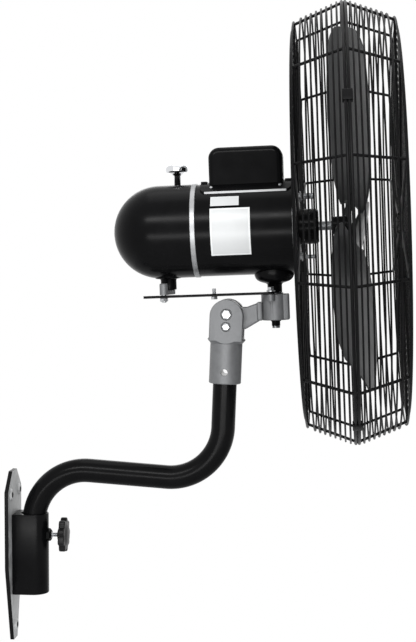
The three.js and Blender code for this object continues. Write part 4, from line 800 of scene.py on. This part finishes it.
def make_motor():
    shell = turned(
        ((MOTOR_RADIUS - 0.5, MOTOR_BACK), (MOTOR_RADIUS, MOTOR_BACK + 0.5), (MOTOR_RADIUS, MOTOR_FRONT - 0.5),
         (MOTOR_RADIUS - 0.5, MOTOR_FRONT), (MOTOR_RADIUS - 3, MOTOR_FRONT), (MOTOR_RADIUS - 3, MOTOR_BACK),
         (MOTOR_RADIUS - 0.5, MOTOR_BACK)),
        128,
        hollow=True,
    )
    put(shell, ALONG_X)
    for x in COVER_SCREWS:
        cut(shell, put(rod(COVER_SCREW_HOLE, 60, 80, 16), at(x, 0, 0) @ Matrix.Rotation(SCREW_ANGLE, 4, "X")))
    fit(shell, "motor_barrel", "head", ENAMEL, "motor_shell", place=AXIS, smooth=40, slot="black_paint")

    bell = turned(
        ((MOTOR_RADIUS, MOTOR_FRONT), (MOTOR_RADIUS, BELL_FRONT - 2.4), (MOTOR_RADIUS - 1, BELL_FRONT - 0.8),
         (MOTOR_RADIUS - 3, BELL_FRONT), (38, BELL_FRONT), (36, BELL_FRONT - 0.8), (30, BELL_FRONT - 0.8),
         (29, BELL_FRONT), (12, BELL_FRONT), (12, MOTOR_FRONT), (MOTOR_RADIUS, MOTOR_FRONT)),
        128,
        hollow=True,
    )
    for place in BOLT_PLACES:
        cut(bell, put(rod(BOLT_HOLE, MOTOR_FRONT - 2, BELL_FRONT + 2, 24), at(*place, 0)))
    put(bell, ALONG_X)
    fit(bell, "motor_front_cast", "head", RING, "motor_front_bell", place=AXIS, smooth=40, slot="grey_casting")

    ring = turned(
        ((REAR_PLATE_RADIUS - 0.8, CASE_FRONT), (REAR_PLATE_RADIUS, CASE_FRONT + 0.8),
         (REAR_PLATE_RADIUS, MOTOR_BACK - 0.8), (REAR_PLATE_RADIUS - 0.8, MOTOR_BACK), (17.3, MOTOR_BACK),
         (17.3, CASE_FRONT), (REAR_PLATE_RADIUS - 0.8, CASE_FRONT)),
        128,
        hollow=True,
    )
    put(ring, ALONG_X)
    fit(ring, "motor_rear_ring", "head", RING, "motor_rear_plate", place=AXIS, smooth=40, slot="machined_steel")

    housing = turned(
        ((HOUSING_RADIUS, BELL_FRONT + GAP), (HOUSING_RADIUS, HOUSING_FRONT - 4),
         (HOUSING_RADIUS - 1, HOUSING_FRONT - 1.6), (HOUSING_RADIUS - 3, HOUSING_FRONT), (11, HOUSING_FRONT),
         (9.5, HOUSING_FRONT - 1.5), (7.1, HOUSING_FRONT - 1.5), (7.1, 60.5), (20.3, 60.5),
         (20.3, BELL_FRONT + GAP), (HOUSING_RADIUS, BELL_FRONT + GAP)),
        72,
        hollow=True,
    )
    put(housing, ALONG_X)
    fit(housing, "bearing_nose", "head", ENAMEL, "bearing_housing", place=AXIS, smooth=40, slot="black_paint")


def make_gear_case():
    """The domed case, with the boss of the crank shaft standing down from it."""
    dome = [(CASE_RADIUS, CASE_FRONT), (CASE_RADIUS, DOME_X)]
    for i in range(1, 29):
        angle = math.pi / 2 * i / 28
        dome.append((CASE_RADIUS * math.cos(angle), DOME_X - CASE_RADIUS * math.sin(angle)))
    case = put(turned(dome, 128), ALONG_X)
    place = at(-CRANK_BACK, 0, -MOTOR_RISE)
    boss = turned(
        ((11.7, 12.3), (12.5, 13.1), (12.5, 27.6), (13.6, 29.4), (19.6, 30.2), (21, 31.4), (22.6, 36), (23, 42)), 64
    )
    weld(case, put(boss, place))
    cut(case, put(rod(6.1, 5, 46, 32), place))
    bore = CASE_RADIUS - CASE_WALL
    inner = [(bore, CASE_FRONT + 2), (bore, DOME_X), (50, DOME_X - 46), (1, DOME_X - 66)]
    floor_kept = block(DOME_X - 90, CASE_FRONT + 5, -90, 90, -90, -52)
    hollow = cut(put(turned(inner, 48), ALONG_X), floor_kept)
    cut(case, hollow)
    cut(case, put(rod(5.9, MOTOR_RISE, MOTOR_RISE + 80, 32), at(*CLUTCH, -MOTOR_RISE)))
    foot, top = MOTOR_RISE + 67, MOTOR_RISE + 71.8
    collar = turned(((7.6, foot), (7.6, MOTOR_RISE + 71.2), (7.1, top), (5.9, top), (5.9, foot), (7.6, foot)), 40,
                    hollow=True)
    collar = put(collar, at(*CLUTCH, -MOTOR_RISE))
    case = gather([case, collar])
    fit(case, "gear_dome", "head", ENAMEL, "gear_case", place=AXIS, smooth=42, slot="black_paint")


def make_capacitor_box():
    """The rounded hood over the capacitor, on a sheet strip bent round the motor."""
    low = MOTOR_RISE + 46
    outline = [
        (low, COVER_BACK),
        *arc((COVER_TOP - COVER_ROUND, COVER_BACK + COVER_ROUND), COVER_ROUND, -math.pi / 2, 0, 14),
        *arc((COVER_TOP - COVER_ROUND, COVER_FRONT - COVER_ROUND), COVER_ROUND, 0, math.pi / 2, 14),
        (low, COVER_FRONT),
    ]
    cover = put(pressed(outline, -COVER_HALF, COVER_HALF), ALONG_Y)
    cover = soften(cover, 9, 60, 8)
    cavity = block(COVER_BACK + 2, COVER_FRONT - 2, 2 - COVER_HALF, COVER_HALF - 2, low - 20, COVER_TOP - 12)
    cut(cover, soften(cavity, 6, 60, 2))
    cut(cover, put(rod(COVER_SEAT, -150, 60, 128), at(0, 0, MOTOR_RISE) @ ALONG_X))
    fit(cover, "capacitor_hood", "head", ENAMEL, "capacitor_cover", place=HEAD, smooth=40, slot="black_paint")

    corner = BASE_CORNER
    outline = [
        *arc((BASE_FRONT - corner, BASE_HALF - corner), corner, 0, math.pi / 2, 8),
        *arc((BASE_BACK + corner, BASE_HALF - corner), corner, math.pi / 2, math.pi, 8),
        *arc((BASE_BACK + corner, corner - BASE_HALF), corner, math.pi, 1.5 * math.pi, 8),
        *arc((BASE_FRONT - corner, corner - BASE_HALF), corner, 1.5 * math.pi, 2 * math.pi, 8),
    ]
    base = pressed(outline, MOTOR_RISE + 40, MOTOR_RISE + 100)
    bent = put(rod(BASE_OUTER, BASE_BACK - 1, BASE_FRONT + 1, 128), at(0, 0, MOTOR_RISE) @ ALONG_X)
    combine(base, [bent], "INTERSECT")
    for start in (BASE_BACK, BASE_FRONT - 10):
        weld(base, soften(block(start + 0.1, start + 9.9, -20, 20, low, BASE_BLOCK_TOP), 1.2, 50, 3))
    cut(base, put(rod(BASE_INNER, -150, 60, 128), at(0, 0, MOTOR_RISE) @ ALONG_X))
    for x in COVER_SCREWS:
        place = at(x, 0, MOTOR_RISE) @ Matrix.Rotation(SCREW_ANGLE, 4, "X")
        cut(base, put(rod(COVER_SCREW_HOLE, 60, 90, 16), place))
    base.data.materials.append(ENAMEL)
    base.data.materials.append(RING)
    for face in base.data.polygons:
        face.material_index = int(abs(face.center.y) > BASE_HALF - 0.4)
    fit(base, "capacitor_tray", "head", ENAMEL, "capacitor_base", place=HEAD, slot="black_paint")

    for i, x in enumerate(COVER_SCREWS):
        head = turned(((2.6, 0), (2.6, 0.7), (2, 1.6), (0.9, 2)), 24)
        cut(head, block(-0.35, 0.35, -3, 3, 1.3, 3), block(-3, 3, -0.35, 0.35, 1.3, 3))
        screw = gather([head, rod(1.5, -6, 0.5, 16)])
        place = HEAD @ at(x, 0, MOTOR_RISE) @ Matrix.Rotation(SCREW_ANGLE, 4, "X") @ at(0, 0, COVER_SEAT)
        fit(screw, f"hood_screw_{i + 1}", "head", ZINC, f"cover_screw_{i + 1}", place=place, slot="zinc")


def make_sticker(name, x0, x1, z0, z1, border):
    """A blank sticker, bent round the motor's side, with a slightly darker field inside its border."""
    start = math.asin(z0 / MOTOR_RADIUS)
    stop = math.asin(z1 / MOTOR_RADIUS)
    columns, rows = 12, 24
    clear_selection()
    bpy.ops.mesh.primitive_grid_add(x_subdivisions=columns, y_subdivisions=rows, size=1)
    item = bpy.context.object
    corners = [(vertex.co.x + 0.5, vertex.co.y + 0.5) for vertex in item.data.vertices]
    edge_u = border / (x1 - x0)
    edge_v = border / (MOTOR_RADIUS * (stop - start))
    for vertex, (u, v) in zip(item.data.vertices, corners):
        step_u, step_v = round(u * columns), round(v * rows)
        if step_u in (1, columns - 1):
            u = edge_u if step_u == 1 else 1 - edge_u
        if step_v in (1, rows - 1):
            v = edge_v if step_v == 1 else 1 - edge_v
        angle = start + (stop - start) * v
        radius = MOTOR_RADIUS + 0.05
        vertex.co = (x0 + (x1 - x0) * u, -radius * math.cos(angle), radius * math.sin(angle))
    apply_modifier(item, "SOLIDIFY", thickness=STICKER_THICK, offset=1)
    item.data.materials.append(DECAL)
    item.data.materials.append(DECAL_FIELD)
    mid_x, mid_angle = (x0 + x1) / 2, (start + stop) / 2
    for face in item.data.polygons:
        angle = math.atan2(face.center.z, -face.center.y)
        inside_x = abs(face.center.x - mid_x) < (x1 - x0) / 2 - border
        inside_z = abs(angle - mid_angle) < (stop - start) / 2 - border / MOTOR_RADIUS
        face.material_index = int(inside_x and inside_z)
    fit(item, name, "head", DECAL, place=AXIS)


# ------------------------------------------------------------------ guard
def ring_wire(radius, depth, thick, side, sides=6):
    """One welded ring of the guard, at its depth from the rim plane."""
    clear_selection()
    bpy.ops.mesh.primitive_torus_add(
        major_radius=radius,
        minor_radius=thick,
        major_segments=120,
        minor_segments=sides,
        generate_uvs=False,
    )
    return put(bpy.context.object, at(RIM_X + side * depth, 0, 0) @ ALONG_X)


def between(a, b, share):
    return a + (b - a) * share


def guard_rings(side, inner, inner_depth):
    """The closely spaced rings of one half: over the face, round the corner and down the wall."""
    stand_off = RIB_WIRE + RING_WIRE - WELD
    step = stand_off * math.sqrt(0.5) - RIB_CORNER / 2
    rings = [
        ring_wire(RIM_RADIUS, RIM_OFFSET, RIM_WIRE, side, 8),
        ring_wire(CORNER_RADIUS + step, FACE_DEPTH + step, RING_WIRE, side),
    ]
    face_end = CORNER_RADIUS - RIB_CORNER
    for i in range(FACE_WIRES):
        share = (i + 1) / (FACE_WIRES + 1)
        depth = between(inner_depth, FACE_DEPTH, share) + stand_off
        rings.append(ring_wire(between(inner, face_end, share), depth, RING_WIRE, side))
    for i in range(WALL_WIRES):
        share = (i + 1) / (WALL_WIRES + 1)
        radius = between(CORNER_RADIUS, RIM_RADIUS - WELD, share) + stand_off * 0.95
        depth = between(FACE_DEPTH - RIB_CORNER, RIM_OFFSET, share)
        rings.append(ring_wire(radius, depth, RING_WIRE, side))
    return rings


def guard_ribs(side, inner, inner_depth):
    line = (
        (inner, inner_depth),
        (CORNER_RADIUS - RIB_CORNER - 2, FACE_DEPTH),
        (CORNER_RADIUS - RIB_CORNER / 2 - 0.4, FACE_DEPTH - 0.7),
        (CORNER_RADIUS, FACE_DEPTH - RIB_CORNER - 2),
        (RIM_RADIUS - WELD, RIM_OFFSET),
    )
    ribs = []
    for i in range(RIBS):
        angle = (i + 0.5) * 2 * math.pi / RIBS
        points = [(RIM_X + side * d, r * math.cos(angle), r * math.sin(angle)) for r, d in line]
        ribs.append(wire(points, RIB_WIRE, 8))
    return ribs


def make_guard():
    rear_depth = RIM_X - HUB_PLATE_FRONT - RIB_WIRE + WELD
    rear = guard_rings(-1, HUB_PLATE_RADIUS - 4, rear_depth) + guard_ribs(-1, HUB_PLATE_RADIUS - 4, rear_depth)
    plate = turned(
        ((29, HUB_PLATE_BACK), (HUB_PLATE_RADIUS, HUB_PLATE_BACK), (HUB_PLATE_RADIUS, HUB_PLATE_FRONT - 0.5),
         (HUB_PLATE_RADIUS - 0.5, HUB_PLATE_FRONT), (29, HUB_PLATE_FRONT), (29, HUB_PLATE_BACK)),
        96,
        hollow=True,
    )
    for place in BOLT_PLACES:
        cut(plate, put(rod(BOLT_HOLE, 30, 50, 24), at(*place, 0)))
    rear = gather([put(plate, ALONG_X), *rear])
    fit(rear, "rear_wire_guard", "head", POWDER, "rear_guard", place=AXIS, smooth=50, slot="black_wire")

    front_depth = FACE_DEPTH + FACE_BULGE
    cap_back = RIM_X + front_depth + RIB_WIRE - WELD
    front = guard_rings(1, CAP_RADIUS - 4, front_depth) + guard_ribs(1, CAP_RADIUS - 4, front_depth)
    cap = turned(
        ((CAP_RADIUS - 0.4, cap_back), (CAP_RADIUS, cap_back + 0.4), (CAP_RADIUS - 0.6, cap_back + 1.2),
         (CAP_RADIUS - 6, cap_back + 2.2), (6, cap_back + 2.2), (5, cap_back + 1.6), (0, cap_back + 1.6)),
        96,
    )
    front = gather([put(cap, ALONG_X), *front])
    fit(front, "front_wire_guard", "head", POWDER, "front_guard", place=AXIS, smooth=50, slot="black_wire")


def thread(height, stop):
    """The turns of a fine thread from one height to another, 1 mm apart."""
    turns = []
    while height < stop:
        turns += [(3, height + 0.5), (2.55, height + 1)]
        height += 1
    return turns


def make_guard_fixings():
    for k, offset in enumerate(BOLT_PLACES, 1):
        start = HUB_PLATE_FRONT + 5.4
        plain = [(2.7, MOTOR_FRONT + GAP), (2.7, HUB_PLATE_FRONT + GAP), (2.7, start)]
        stud = turned(plain + thread(start, HUB_PLATE_FRONT + 25), 20)
        nut = bolt_head(6.5, 5, HUB_PLATE_FRONT + GAP)
        bolt = put(gather([stud, nut]), ALONG_X)
        place = AXIS @ at(0, *offset)
        fit(bolt, f"guard_stud_{k}", "head", ZINC, f"guard_bolt_{k}", place=place, smooth=20, slot="zinc")
    flat = RIM_RADIUS * math.cos(math.pi / RIM_SIDES)
    for i in range(CLIPS):
        band = block(-7.4, 7.4, -9, 9, flat - 4.75, flat + 4.75)
        soften(band, 1.4, 50, 3)
        inside = block(-5.45, 5.45, -12, 12, flat - 2.8, flat + 2.8)
        cut(band, soften(inside, 0.8, 50, 2))
        turn = Matrix.Rotation(CLIP_PHASE + i * 2 * math.pi / CLIPS, 4, "X")
        place = AXIS @ at(RIM_X, 0, 0) @ turn
        fit(band, f"rim_clip_{i + 1}", "head", POWDER, f"guard_clip_{i + 1}", place=place, slot="black_wire")


# ------------------------------------------------------------------ fan
def blade_station(place):
    """The blade's (span, width, set) shares at a place counted in stations, on a smooth line through them."""
    last = len(BLADE_SHAPE) - 1
    here = min(int(place), last - 1)
    before, a, b, after = (BLADE_SHAPE[max(0, min(last, here + k))] for k in (-1, 0, 1, 2))
    t = place - here
    shares = []
    for p, q, r, s in zip(before, a, b, after):
        leaving, arriving = (r - p) / 4, (s - q) / 4
        value = q * (2 * t**3 - 3 * t**2 + 1) + r * (3 * t**2 - 2 * t**3)
        shares.append(value + leaving * (t**3 - 2 * t**2 + t) + arriving * (t**3 - t**2))
    return shares


def make_blade(index):
    """A wide sheet blade, pitched and bowed, with softened edges."""
    clear_selection()
    bpy.ops.mesh.primitive_grid_add(x_subdivisions=45, y_subdivisions=18, size=1)
    item = bpy.context.object
    angle = BLADE_PHASE + index * 2 * math.pi / BLADES
    root = HUB_RADIUS + GAP
    for vertex in item.data.vertices:
        span, width, set_forward = blade_station((vertex.co.x + 0.5) * (len(BLADE_SHAPE) - 1))
        chord = vertex.co.y * 2
        across = chord * width * BLADE_HALF
        radius = between(root, BLADE_TIP, span)
        turn = angle + across / radius
        bow = BLADE_BOW * width * (1 - chord * chord)
        middle = between(BLADE_ROOT_X, BLADE_TIP_X, span) + set_forward * BLADE_SET
        x = middle + across * math.tan(BLADE_PITCH) + bow
        vertex.co = (x, -radius * math.sin(turn), radius * math.cos(turn))
    apply_modifier(item, "SOLIDIFY", thickness=BLADE_THICK, offset=0)
    tidy_shell(item)
    soften(item, 0.9, 60, 2)
    k = index + 1
    fit(item, f"sheet_blade_{k}", "rotor", BLADE, f"fan_blade_{k}", place=AXIS, smooth=50, slot="blade")


def make_fan_hub():
    hub = turned(
        ((7.3, FAN_BACK), (HUB_RADIUS - 1, FAN_BACK), (HUB_RADIUS, FAN_BACK + 1), (HUB_RADIUS, FAN_FRONT - 1.5),
         (HUB_RADIUS - 1.5, FAN_FRONT), (7.3, FAN_FRONT), (7.3, FAN_BACK)),
        64,
        hollow=True,
    )
    cut(hub, put(rod(2.6, 5, 16, 24), at(0, 0, 103)))
    put(hub, ALONG_X)
    fit(hub, "blade_hub", "rotor", ENAMEL, "fan_hub", place=AXIS, slot="black_paint")


# ------------------------------------------------------------------ oscillation
def stadium(a, b, radius_a, radius_b, steps=20):
    heading = math.atan2(b[1] - a[1], b[0] - a[0])
    return [
        *arc(a, radius_a, heading + math.pi / 2, heading + 3 * math.pi / 2, steps),
        *arc(b, radius_b, heading - math.pi / 2, heading + math.pi / 2, steps),
    ]


def make_linkage():
    shaft = (-CRANK_BACK, 0)
    pin = (-CRANK_BACK + THROW[0], THROW[1])
    arm = soften(pressed(stadium(shaft, pin, 10, 6.5), 5, 12), 1.2, 50, 3)
    eye = put(turned(((6.5, 5.2), (6.5, 21.6), (5.6, 23)), 40), at(*pin, 0))
    weld(arm, eye)
    cut(arm, put(rod(6.3, 0, 15, 32), at(*shaft, 0)), put(rod(CRANK_PIN_HOLE, 0, 19.3, 32), at(*pin, 0)))
    fit(arm, "crank_lever", "crank", CASTING, "crank_arm", place=HEAD, slot="grey_casting")
    stud = put(turned(((3.2, -7), (4, -6.2), (4, 19)), 32), at(*pin, 0))
    fit(stud, "crank_stud", "crank", ZINC, "crank_pin", place=HEAD, slot="zinc")
    nut = put(turned(((6, -5.2), (7, -4.4), (7, -0.6), (6.4, 0)), 6), at(*pin, 0))
    cut(nut, put(rod(CRANK_PIN_HOLE, -10, 5, 32), at(*pin, 0)))
    fit(nut, "crank_lock_nut", "crank", ZINC, "crank_nut", place=HEAD, slot="zinc")

    bar = pressed(stadium((pin[0] - LINK_TAIL, pin[1]), THROW, LINK_HALF, LINK_HALF), LINK_BOTTOM, LINK_TOP)
    cut(bar, put(rod(CRANK_PIN_HOLE, -5, 8, 32), at(*pin, 0)), put(rod(3.6, -5, 8, 32), at(*THROW, 0)))
    cut(bar, put(rod(3.3, -5, 8, 32), at(-LINK_BOLT_BACK, THROW[1], 0)))
    soften(bar, 0.4, 40)
    fit(bar, "link_strip", "link", ENAMEL, "link_bar", place=HEAD, slot="black_paint")
    head = turned(((5, -4.5), (5.5, -3.9), (5.5, -0.4), (5.1, 0)), 6)
    shank = turned([(2.7, -0.5), (2.7, 4.4), *thread(4.4, 11.6)], 20)
    bolt = put(gather([head, shank]), at(-LINK_BOLT_BACK, THROW[1], 0))
    fit(bolt, "link_screw", "link", ZINC, "link_bolt", place=HEAD, smooth=20, slot="zinc")


def make_pull_knob():
    knob = turned(
        (
            (5.2, 162.6),
            (5.5, 162.9),
            (5.5, 192.3),
            (8, 194.8),
            (11.5, 197.3),
            (15, 197.5),
            (17, 198.5),
            (17.9, 200.5),
            (18, 203.5),
            (17.4, 206.3),
            (15.8, 208.7),
            (13, 209.8),
            (0, 209.8),
        ),
        72,
    )
    put(knob, at(*CLUTCH, 0))
    fit(knob, "pull_button", "pull_knob", CHROME, "osc_knob", place=HEAD, smooth=50, slot="chrome")


# ------------------------------------------------------------------ stage, in metres
LIT_PLACE = (0.4, 0, 0.45)
SOFTBOXES = (
    ("high strip", (0.2, -2.0, 1.7), 2.4, 0.34, 44),
    ("low strip", (0.3, -2.5, 0.0), 2.4, 0.34, 30),
    ("top fill", (0.4, 0.3, 2.4), 1.8, 1.2, 9),
    ("back fill", (0.3, 2.2, 1.0), 2.0, 1.2, 8),
)
AMBIENT = 0.4
FLOOR_PLACE = (0.6, 0, -0.75)
CAMERA_EYE = (0.53, -2.2, 0.4967)
CAMERA_TARGET = (0.3205, 0, 0.3767)
CAMERA_LENS = 78.2


def white_when_seen(tree, shader_output, surface_input):
    """Shows plain white to the camera, to gloss and through glass, and the shader to the rest of the light."""
    path = node(tree, "ShaderNodeLightPath")
    either = node(tree, "ShaderNodeMath", operation="MAXIMUM")
    tree.links.new(path.outputs["Is Camera Ray"], either.inputs[0])
    tree.links.new(path.outputs["Is Transmission Ray"], either.inputs[1])
    seen = node(tree, "ShaderNodeMath", operation="MAXIMUM")
    tree.links.new(either.outputs[0], seen.inputs[0])
    tree.links.new(path.outputs["Is Glossy Ray"], seen.inputs[1])
    mix = node(tree, "ShaderNodeMixShader")
    tree.links.new(seen.outputs[0], mix.inputs[0])
    tree.links.new(shader_output, mix.inputs[1])
    tree.links.new(mix.outputs[0], surface_input)
    return mix


def make_world():
    world = bpy.data.worlds.new("pale studio")
    bpy.context.scene.world = world
    world.use_nodes = True
    tree = world.node_tree
    plain = tree.nodes["Background"]
    plain.inputs["Color"].default_value = (0.9, 0.92, 0.95, 1)
    plain.inputs["Strength"].default_value = AMBIENT
    white = node(tree, "ShaderNodeBackground")
    white.inputs["Color"].default_value = (1, 1, 1, 1)
    white.inputs["Strength"].default_value = 1
    mix = white_when_seen(tree, plain.outputs[0], tree.nodes["World Output"].inputs["Surface"])
    tree.links.new(white.outputs[0], mix.inputs[2])


def make_floor():
    clear_selection()
    bpy.ops.mesh.primitive_plane_add(size=3, location=FLOOR_PLACE)
    floor = bpy.context.object
    floor.name = "studio_floor"
    material = bpy.data.materials.new("pale floor")
    material.use_nodes = True
    tree = material.node_tree
    shader = tree.nodes["Principled BSDF"]
    tint = range_node(tree, noise_node(tree, 4).outputs["Fac"], 0.86, 0.9)
    color = node(tree, "ShaderNodeCombineColor")
    for socket in color.inputs:
        tree.links.new(tint, socket)
    tree.links.new(color.outputs[0], shader.inputs["Base Color"])
    shader.inputs["Roughness"].default_value = 0.8
    floor.data.materials.append(material)


def aimed(item, place, target):
    """Puts a lamp or the camera in its place and turns it to what it looks at."""
    bpy.context.collection.objects.link(item)
    item.location = place
    item.rotation_euler = (Vector(target) - Vector(place)).to_track_quat("-Z", "Y").to_euler()


def softbox(name, place, width, height, power):
    light = bpy.data.lights.new(name, "AREA")
    light.shape = "RECTANGLE"
    light.size = width
    light.size_y = height
    light.energy = power
    aimed(bpy.data.objects.new(name, light), place, LIT_PLACE)


def make_camera():
    camera = bpy.data.cameras.new("photograph view")
    camera.sensor_fit = "VERTICAL"
    camera.sensor_height = 36
    camera.lens = CAMERA_LENS
    camera.clip_start = 0.05
    item = bpy.data.objects.new("photograph view", camera)
    aimed(item, CAMERA_EYE, CAMERA_TARGET)
    bpy.context.scene.camera = item


make_camera()
dress_nodes()
make_wall_plate()
make_socket()
make_clamp()
make_arm()
make_neck()
make_tilt_arm()
make_saddle()
make_motor()
make_gear_case()
make_capacitor_box()
make_sticker("blank_sticker_small", -91.5, -48, 36, 50, 0.8)
make_sticker("blank_sticker_large", -92.5, -31, -40, 32, 2.5)
make_guard()
make_guard_fixings()
for blade_index in range(BLADES):
    make_blade(blade_index)
make_fan_hub()
make_linkage()
make_pull_knob()
make_world()
make_floor()
for lamp in SOFTBOXES:
    softbox(*lamp)
bpy.context.scene.view_settings.view_transform = "Standard"
bpy.context.view_layer.update()
